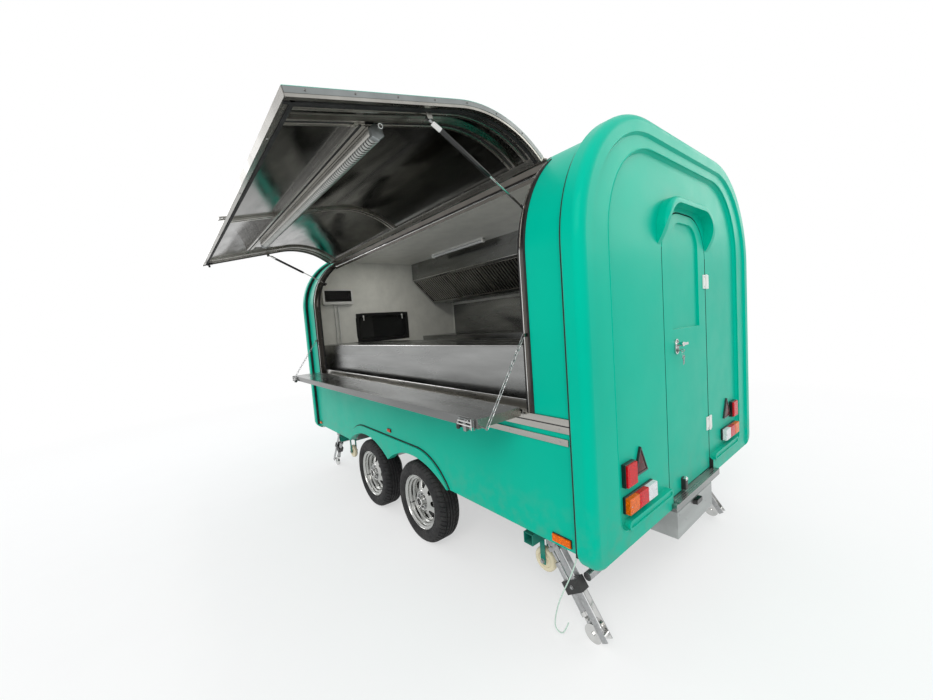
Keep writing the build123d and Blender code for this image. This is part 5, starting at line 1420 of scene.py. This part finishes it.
class DressRear(bpy.types.Operator):
    """Rear door with its fittings, and the lamps"""
    bl_idname = "trailer.dress_rear"
    bl_label = "Rear door and lamps"

    def execute(self, context):
        look = context.scene.trailer_look
        dress("door_panel", ["paint", "wall", "seal"], look.edge, self.door_zone)
        self.add_door_seal()
        self.add_hinges()
        self.add_lock()
        dress("door_sill", "steel_across", 0.0015)
        sill = Batch("sill_treads")
        for i in range(4):
            x = -CAP_BACK - 0.022 + i * 0.012
            add_box(sill["steel_across"], (x, x + 0.005), (-0.29, 0.29), (0.5035, 0.5102))
        sill.make(bevel=0.001)
        self.add_tail_lamps()
        self.add_markers()
        return {"FINISHED"}

    def door_zone(self, point, normal):
        """Paint outside, lining inside, and rubber on the edges between."""
        depth = point.x - BODY_X + RECESS_X
        if abs(normal.x) < 0.2 and abs(point.y - BODY_Y) > DOOR_HALF - 0.002 and depth > 0.004:
            return 2
        return 1 if depth > 0.03 else 0

    def add_door_seal(self):
        """Rubber in the gap between the door and its frame."""
        seal = Batch("door_seal")
        outer, inner = (
            arch_outline(DOOR_HALF + gap, DOOR_BOTTOM - low, DOOR_TOP + gap, DOOR_RADIUS + gap)
            for gap, low in ((0.0069, 0.002), (0.0053, 0.0017)))
        add_ring(seal["seal"], (-RECESS_X + 0.002, -RECESS_X + 0.030), outer, inner)
        seal.make()

    def add_hinges(self):
        """Hinge leaves on door and frame, with their screws and pin heads."""
        dress("door_hinges", "white", 0.0015)
        dress("hinge_frames", "white", 0.0015)
        pin_y, pin_x = -(DOOR_HALF + 0.0035), -RECESS_X - 0.008
        heights = (0.805, 1.700)
        on_door, on_frame = Batch("hinge_screws", "door"), Batch("hinge_frame_screws")
        for batch, offset in ((on_door, 0.027), (on_frame, -0.027)):
            for z in heights:
                for lift in (-0.030, 0.030):
                    place = facing(at(-RECESS_X - 0.006, pin_y + offset, z + lift), BACK)
                    add_screw(batch["zinc"], place, 0.0045, 0.002)
        for z in heights:
            for lift in (-1, 1):
                place = facing(at(pin_x, pin_y, z + lift * 0.042), (0, 0, lift))
                add_screw(on_frame["white"], place, 0.0062, 0.004, 16)
        on_door.make()
        on_frame.make()

    def add_lock(self):
        """Oval plate with a rim, knob, lever and hanging keys, and the latch at the door's foot."""
        lock = Batch("door_lock", "door")
        y, z, face = 0.165, 1.340, -RECESS_X
        plate, inset = (
            arch_outline(half, z - half - 0.020, z + half + 0.020, half - 0.0001, half - 0.0001, y)
            for half in (0.022, 0.017))
        add_prism(lock["chrome"], plate, (face + 0.0005, face - 0.005))
        add_ring(lock["chrome"], (face - 0.009, face - 0.004), plate, inset)
        knob = ((0.0140, 0.0), (0.0140, 0.004), (0.0115, 0.007), (0.0105, 0.022), (0.0128, 0.026),
                (0.0132, 0.037), (0.0112, 0.040), (0.0040, 0.0402), (0.0034, 0.0380), (ON_AXIS, 0.0380))
        add_turned(lock["chrome"], knob, facing(at(face - 0.004, y, z + 0.014), BACK), 32)
        add_box(lock["chrome"], (face - 0.043, face - 0.034), (y - 0.062, y), (z + 0.007, z + 0.021))
        plug = ((0.0095, 0.0), (0.0095, 0.004), (0.0075, 0.0055), (ON_AXIS, 0.0055))
        add_turned(lock["dark_steel"], plug, facing(at(face - 0.005, y, z - 0.020), BACK), 28)
        add_box(lock["zinc"], (face - 0.0300, face - 0.010), (y - 0.0011, y + 0.0011),
                (z - 0.0245, z - 0.0170))
        turns = round_angles(16)
        x = face - 0.0360
        bow = [at(x - 0.0080 * math.cos(a), y, z - 0.0210 + 0.0080 * math.sin(a)) for a in turns]
        add_tube(lock["zinc"], bow, 0.0020, 8, closed=True)
        split_ring = [at(x, y + 0.0130 * math.cos(a), z - 0.0370 + 0.0130 * math.sin(a)) for a in turns]
        add_tube(lock["chrome"], split_ring, 0.0011, 6, closed=True)
        for side, drop in ((-0.006, 0.0), (0.005, 0.003)):
            bow = [at(x - 0.003, y + side + 0.0085 * math.cos(a), z - 0.0560 - drop + 0.0085 * math.sin(a))
                   for a in turns]
            add_tube(lock["zinc"], bow, 0.0020, 8, closed=True)
            add_box(lock["zinc"], (x - 0.0042, x - 0.0022), (y + side - 0.0034, y + side + 0.0034),
                    (z - 0.0960 - drop, z - 0.0630 - drop))
        lock.make(("door_lock",), bevel=0.0012)
        latch = Batch("door_latch", "door")
        low = DOOR_BOTTOM + 0.006
        add_prism(latch["black"], arch_outline(0.018, low, low + 0.070, 0.006, 0.004, 0.133),
                  (face + 0.0005, face - 0.024), 0.9)
        add_box(latch["chrome"], (face - 0.0262, face - 0.010), (0.119, 0.147), (low + 0.056, low + 0.0705))
        pin = [at(face - 0.020, 0.133, low + height) for height in (0.068, 0.078)]
        add_rod(latch["chrome"], *pin, 0.0052, 0.0035, 18)
        for i in range(3):
            add_box(latch["dark_steel"], (face - 0.0260, face - 0.018), (0.126, 0.140),
                    (low + 0.012 + i * 0.014, low + 0.019 + i * 0.014))
        latch.make(("door_latch",), bevel=0.0015)

    def add_tail_lamps(self):
        """Three-colour combination lamps, square lamps and triangular reflectors in black housings."""
        lamps = Batch("tail_lamps")
        face = -RECESS_X
        for sign in SIDES.values():
            for near, z, deep in ((0.520, (0.630, 0.708), 0.013), (0.702, (0.754, 0.863), 0.021)):
                add_box(lamps["gloss_black"], (face - deep, face + 0.0005), mirrored(sign, near, 0.799), z)
            for finish, near, far in (
                    ("amber", 0.7065, 0.7965), ("red", 0.6150, 0.7045), ("clear", 0.5225, 0.6130)):
                y, mid_y = mirrored(sign, near, far), sign * (near + far) / 2
                add_box(lamps[finish], (face - 0.036, face - 0.012), y, (0.6325, 0.7055))
                raised = (mid_y - 0.034, mid_y + 0.034)
                add_box(lamps[finish], (face - 0.0372, face - 0.030), raised, (0.6420, 0.6960))
            for near, far, z, deep, shallow in (
                    (0.705, 0.796, (0.757, 0.860), 0.030, 0.020),
                    (0.716, 0.785, (0.769, 0.848), 0.0312, 0.025)):
                add_box(lamps["red"], (face - deep, face - shallow), mirrored(sign, near, far), z)
            self.add_reflector(lamps, sign, face)
            for y in (0.5375, 0.7820):
                place = facing(at(face - 0.0372, sign * y, 0.6690), BACK)
                add_screw(lamps["zinc"], place, 0.0032, 0.0014, 12)
        lamps.make(("lamps",), bevel=0.0022)

    def add_reflector(self, lamps, sign, face):
        """Triangular frame, with a shallow three-sided lens in it."""
        mid_y, mid_z = 0.629, 0.816
        outer = [(sign * y, z) for y, z in ((0.564, 0.772), (0.694, 0.772), (0.629, 0.904))]
        rim = [(sign * (mid_y + (sign * y - mid_y) * 0.80), mid_z + (z - mid_z) * 0.80) for y, z in outer]
        add_ring(lamps["gloss_black"], (face - 0.0135, face + 0.0005), outer, rim)
        bm = lamps["deep_red"]
        corners, base = ([bm.verts.new(at(x, y, z)) for y, z in rim] for x in (face - 0.0100, face - 0.001))
        tip = bm.verts.new(at(face - 0.0155, sign * mid_y, mid_z))
        bm.faces.new(base)
        for j in range(3):
            k = (j + 1) % 3
            bm.faces.new((corners[j], corners[k], tip))
            bm.faces.new((base[j], base[k], corners[k], corners[j]))

    def add_markers(self):
        """Side markers in dark frames, and the gland of the loose wire."""
        markers = Batch("side_markers")
        for sign in SIDES.values():
            for x, z, half, high, colour in ((-1.638, 0.551, 0.052, 0.020, "amber"),
                                             (-0.026, 0.762, 0.028, 0.014, "orange"),
                                             (1.660, 0.548, 0.028, 0.014, "amber")):
                for finish, less, back, front in (
                        ("black", 0.0, -0.001, 0.005), (colour, 0.003, 0.004, 0.0118)):
                    add_box(markers[finish], (x - half + less, x + half - less),
                            mirrored(sign, HALF_WIDTH + back, HALF_WIDTH + front),
                            (z - high + less, z + high - less))
        gland = ((0.0031, 0.0), (0.0080, 0.0), (0.0080, 0.004), (0.0105, 0.005), (0.0105, 0.010),
                 (0.0080, 0.0118), (0.0031, 0.0118))
        add_turned(markers["black"], gland, Matrix.Translation(at(*WIRE_ROUTE[0])), 24, closed=True)
        markers.make(bevel=0.0018)


# Front and inside

class DressFront(bpy.types.Operator):
    """Front window with its stays"""
    bl_idname = "trailer.dress_front"
    bl_label = "Front window"

    def execute(self, context):
        dress("window_frame", "black", 0.002)
        dress("window_glass", "pane", 0.0005)
        stays = Batch("window_stays")
        for y in (-0.135, 0.405):
            add_box(stays["white"], (1.712, 1.7265), (y - 0.009, y + 0.009), (1.716, 1.740))
            add_box(stays["white"], (1.708, 1.716), (y - 0.006, y + 0.006), (1.676, 1.726))
        for finish, x, *outlines in (
                ("black", (HALF_LENGTH - 0.0095, HALF_LENGTH - 0.0055),
                 (0.362, 1.412, 1.763, 0.004), (0.329, 1.446, 1.729, 0.040)),
                ("seal", (RECESS_X + 0.0055, RECESS_X + 0.0082),
                 (0.353, 1.4220, 1.7530, 0.066), (0.347, 1.4280, 1.7470, 0.060))):
            outer, inner = (arch_outline(half, low, high, radius, radius, 0.135)
                            for half, low, high, radius in outlines)
            add_ring(stays[finish], x, outer, inner)
        stays.make(bevel=0.002)
        return {"FINISHED"}


class DressKitchen(bpy.types.Operator):
    """Worktops, cupboards, hood, ceiling light and fuse box"""
    bl_idname = "trailer.dress_kitchen"
    bl_label = "Kitchen"

    def execute(self, context):
        for node in ("bench_left", "bench_right", "hood"):
            dress(node, "steel", 0.002)
        (lip_y, lip_z), (low_y, low_z) = HOOD_LIP, HOOD_LOW
        run = Vector((0, low_y - lip_y, low_z - lip_z))
        along = run.normalized()
        out, lip = Vector((0, -along.z, along.y)), at(0, *HOOD_LIP)
        dress("hood_filters", ["black", "baffle"], 0.0015,
              lambda p, n: 1 if n.dot(out) > 0.9 and (p - lip).dot(out) > -0.008 else 0)
        kitchen = Batch("kitchen")
        self.add_cupboards(kitchen)
        self.add_hood_trim(kitchen, run.length, along, out)
        self.add_light(kitchen)
        self.add_fuses(kitchen)
        kitchen.make(("ceiling_light", "fuse_box"), bevel=0.001)
        return {"FINISHED"}

    def add_cupboards(self, kitchen):
        """Bright lip of the serving worktop, and doors with handles on both sides of the aisle."""
        add_bar(kitchen["chrome"], BENCH_X, 0.9305, BENCH_TOP - 0.003, 0.0042)
        doors = 5
        width = (BENCH_X[1] - BENCH_X[0]) / doors
        for face, out in ((0.390, -1), (-0.430, 1)):
            for i in range(doors):
                low, high = BENCH_X[0] + i * width + 0.006, BENCH_X[0] + (i + 1) * width - 0.006
                for heights in ((0.680, 1.190), (1.202, 1.360)):
                    # Cupboard doors in the darkened, browned steel: painted reflection and shade.
                    add_box(kitchen["steel_up"], (low, high), sorted((face, face + out * 0.012)), heights)
                mid = (low + high) / 2
                handle = ((mid - 0.06, 0.010), (mid - 0.06, 0.034), (mid + 0.06, 0.034), (mid + 0.06, 0.010))
                for z in (1.150, 1.290):
                    add_tube(kitchen["chrome"], [at(x, face + out * y, z) for x, y in handle], 0.0045)

    def add_hood_trim(self, kitchen, length, along, out):
        """Frames and handles of the four filters, and the hood's rolled lower lip."""
        bays = 4
        width = (HOOD_X[1] - HOOD_X[0] - 0.066) / bays
        for i in range(bays):
            low = HOOD_X[0] + 0.033 + i * width
            for x in (low + 0.003, low + width - 0.003):
                start = at(x, *HOOD_LIP) + along * 0.034 - out * 0.002
                add_tube(kitchen["aluminium"], [start, start + along * (length - 0.068)], 0.005, 8)
            for share in (0.036, length - 0.036):
                start = at(low + 0.003, *HOOD_LIP) + along * share - out * 0.002
                add_tube(kitchen["aluminium"], [start, start + Vector((width - 0.006, 0, 0))], 0.005, 8)
            grip = at(low + width / 2, *HOOD_LIP) + along * (length * 0.62) + out * 0.004
            side, rise = Vector((0.045, 0, 0)), out * 0.016
            handle = [grip - side, grip - side + rise, grip + side + rise, grip + side]
            add_tube(kitchen["chrome"], handle, 0.0032)
        add_bar(kitchen["chrome"], HOOD_X, *HOOD_LIP, 0.005)

    def add_light(self, kitchen):
        """Strip light under the roof: base, sockets and round tube."""
        top = ROOF_TOP - WALL
        add_box(kitchen["white"], (0.10, 1.00), (-0.228, -0.192), (top - 0.014, top))
        for x in (0.10, 0.975):
            add_box(kitchen["white"], (x, x + 0.025), (-0.226, -0.194), (top - 0.044, top - 0.006))
        add_bar(kitchen["clear"], (0.120, 0.980), -0.21, top - 0.029, 0.0130, 16)

    def add_fuses(self, kitchen):
        """Fuse box: white case and rim round a dark cover with its breakers, and two conduits."""
        wall = HALF_LENGTH
        flush = wall - 0.0005
        add_box(kitchen["white"], (wall - 0.050, flush), (0.530, 0.890), (1.880, 2.060))
        outer = arch_outline(0.180, 1.880, 2.060, 0.012, 0.012, 0.710)
        inner = arch_outline(0.158, 1.912, 2.040, 0.008, 0.008, 0.710)
        add_ring(kitchen["white"], (wall - 0.0600, wall - 0.0495), outer, inner)
        add_box(kitchen["gloss_black"], (wall - 0.0560, wall - 0.0495), (0.552, 0.868), (1.912, 2.040))
        for i in range(12):
            y = 0.575 + i * 0.0235
            add_box(kitchen["black"], (wall - 0.0575, wall - 0.0550), (y, y + 0.019), (1.945, 2.005))
            add_box(kitchen["black"], (wall - 0.0600, wall - 0.0570), (y + 0.006, y + 0.013), (1.968, 1.988))
        for y in (0.706, 0.748):
            conduit = [at(wall - 0.012, y, z) for z in (BENCH_TOP, 1.882)]
            add_tube(kitchen["white"], conduit, 0.0095, 14)
            for z in (1.50, 1.65, 1.80):
                add_box(kitchen["white"], (wall - 0.024, flush), (y - 0.013, y + 0.013),
                        (z - 0.008, z + 0.008))


class TrailerPanel(bpy.types.Panel):
    """Shows the trailer's settings and a button for each step"""
    bl_idname = "TRAILER_PT_pieces"
    bl_label = "Food trailer"
    bl_space_type = "VIEW_3D"
    bl_region_type = "UI"
    bl_category = "Trailer"

    def draw(self, context):
        for name in GROUPS:
            group = getattr(context.scene, name)
            for field in group.__annotations__:
                self.layout.prop(group, field)
        for step in STEPS:
            self.layout.operator(step.bl_idname)


STEPS = (BuildStage, RunWire, DressBody, DressWheels, DressChassis, DressOpening, DressHatch, DressShelf,
         DressRear, DressFront, DressKitchen)
GROUPS = {"trailer_look": LookSettings, "trailer_wheels": WheelSettings, "trailer_trim": TrimSettings,
          "trailer_stage": StageSettings}


def register():
    for name, group in GROUPS.items():
        bpy.utils.register_class(group)
        setattr(bpy.types.Scene, name, PointerProperty(type=group))
    for step in STEPS + (TrailerPanel,):
        bpy.utils.register_class(step)


def unregister():
    for step in reversed(STEPS + (TrailerPanel,)):
        bpy.utils.unregister_class(step)
    for name, group in GROUPS.items():
        delattr(bpy.types.Scene, name)
        bpy.utils.unregister_class(group)


def main():
    register()
    mix_finishes(bpy.context.scene.trailer_look)
    for step in STEPS:
        group, name = step.bl_idname.split(".")
        getattr(getattr(bpy.ops, group), name)()


if __name__ == "__main__":
    main()
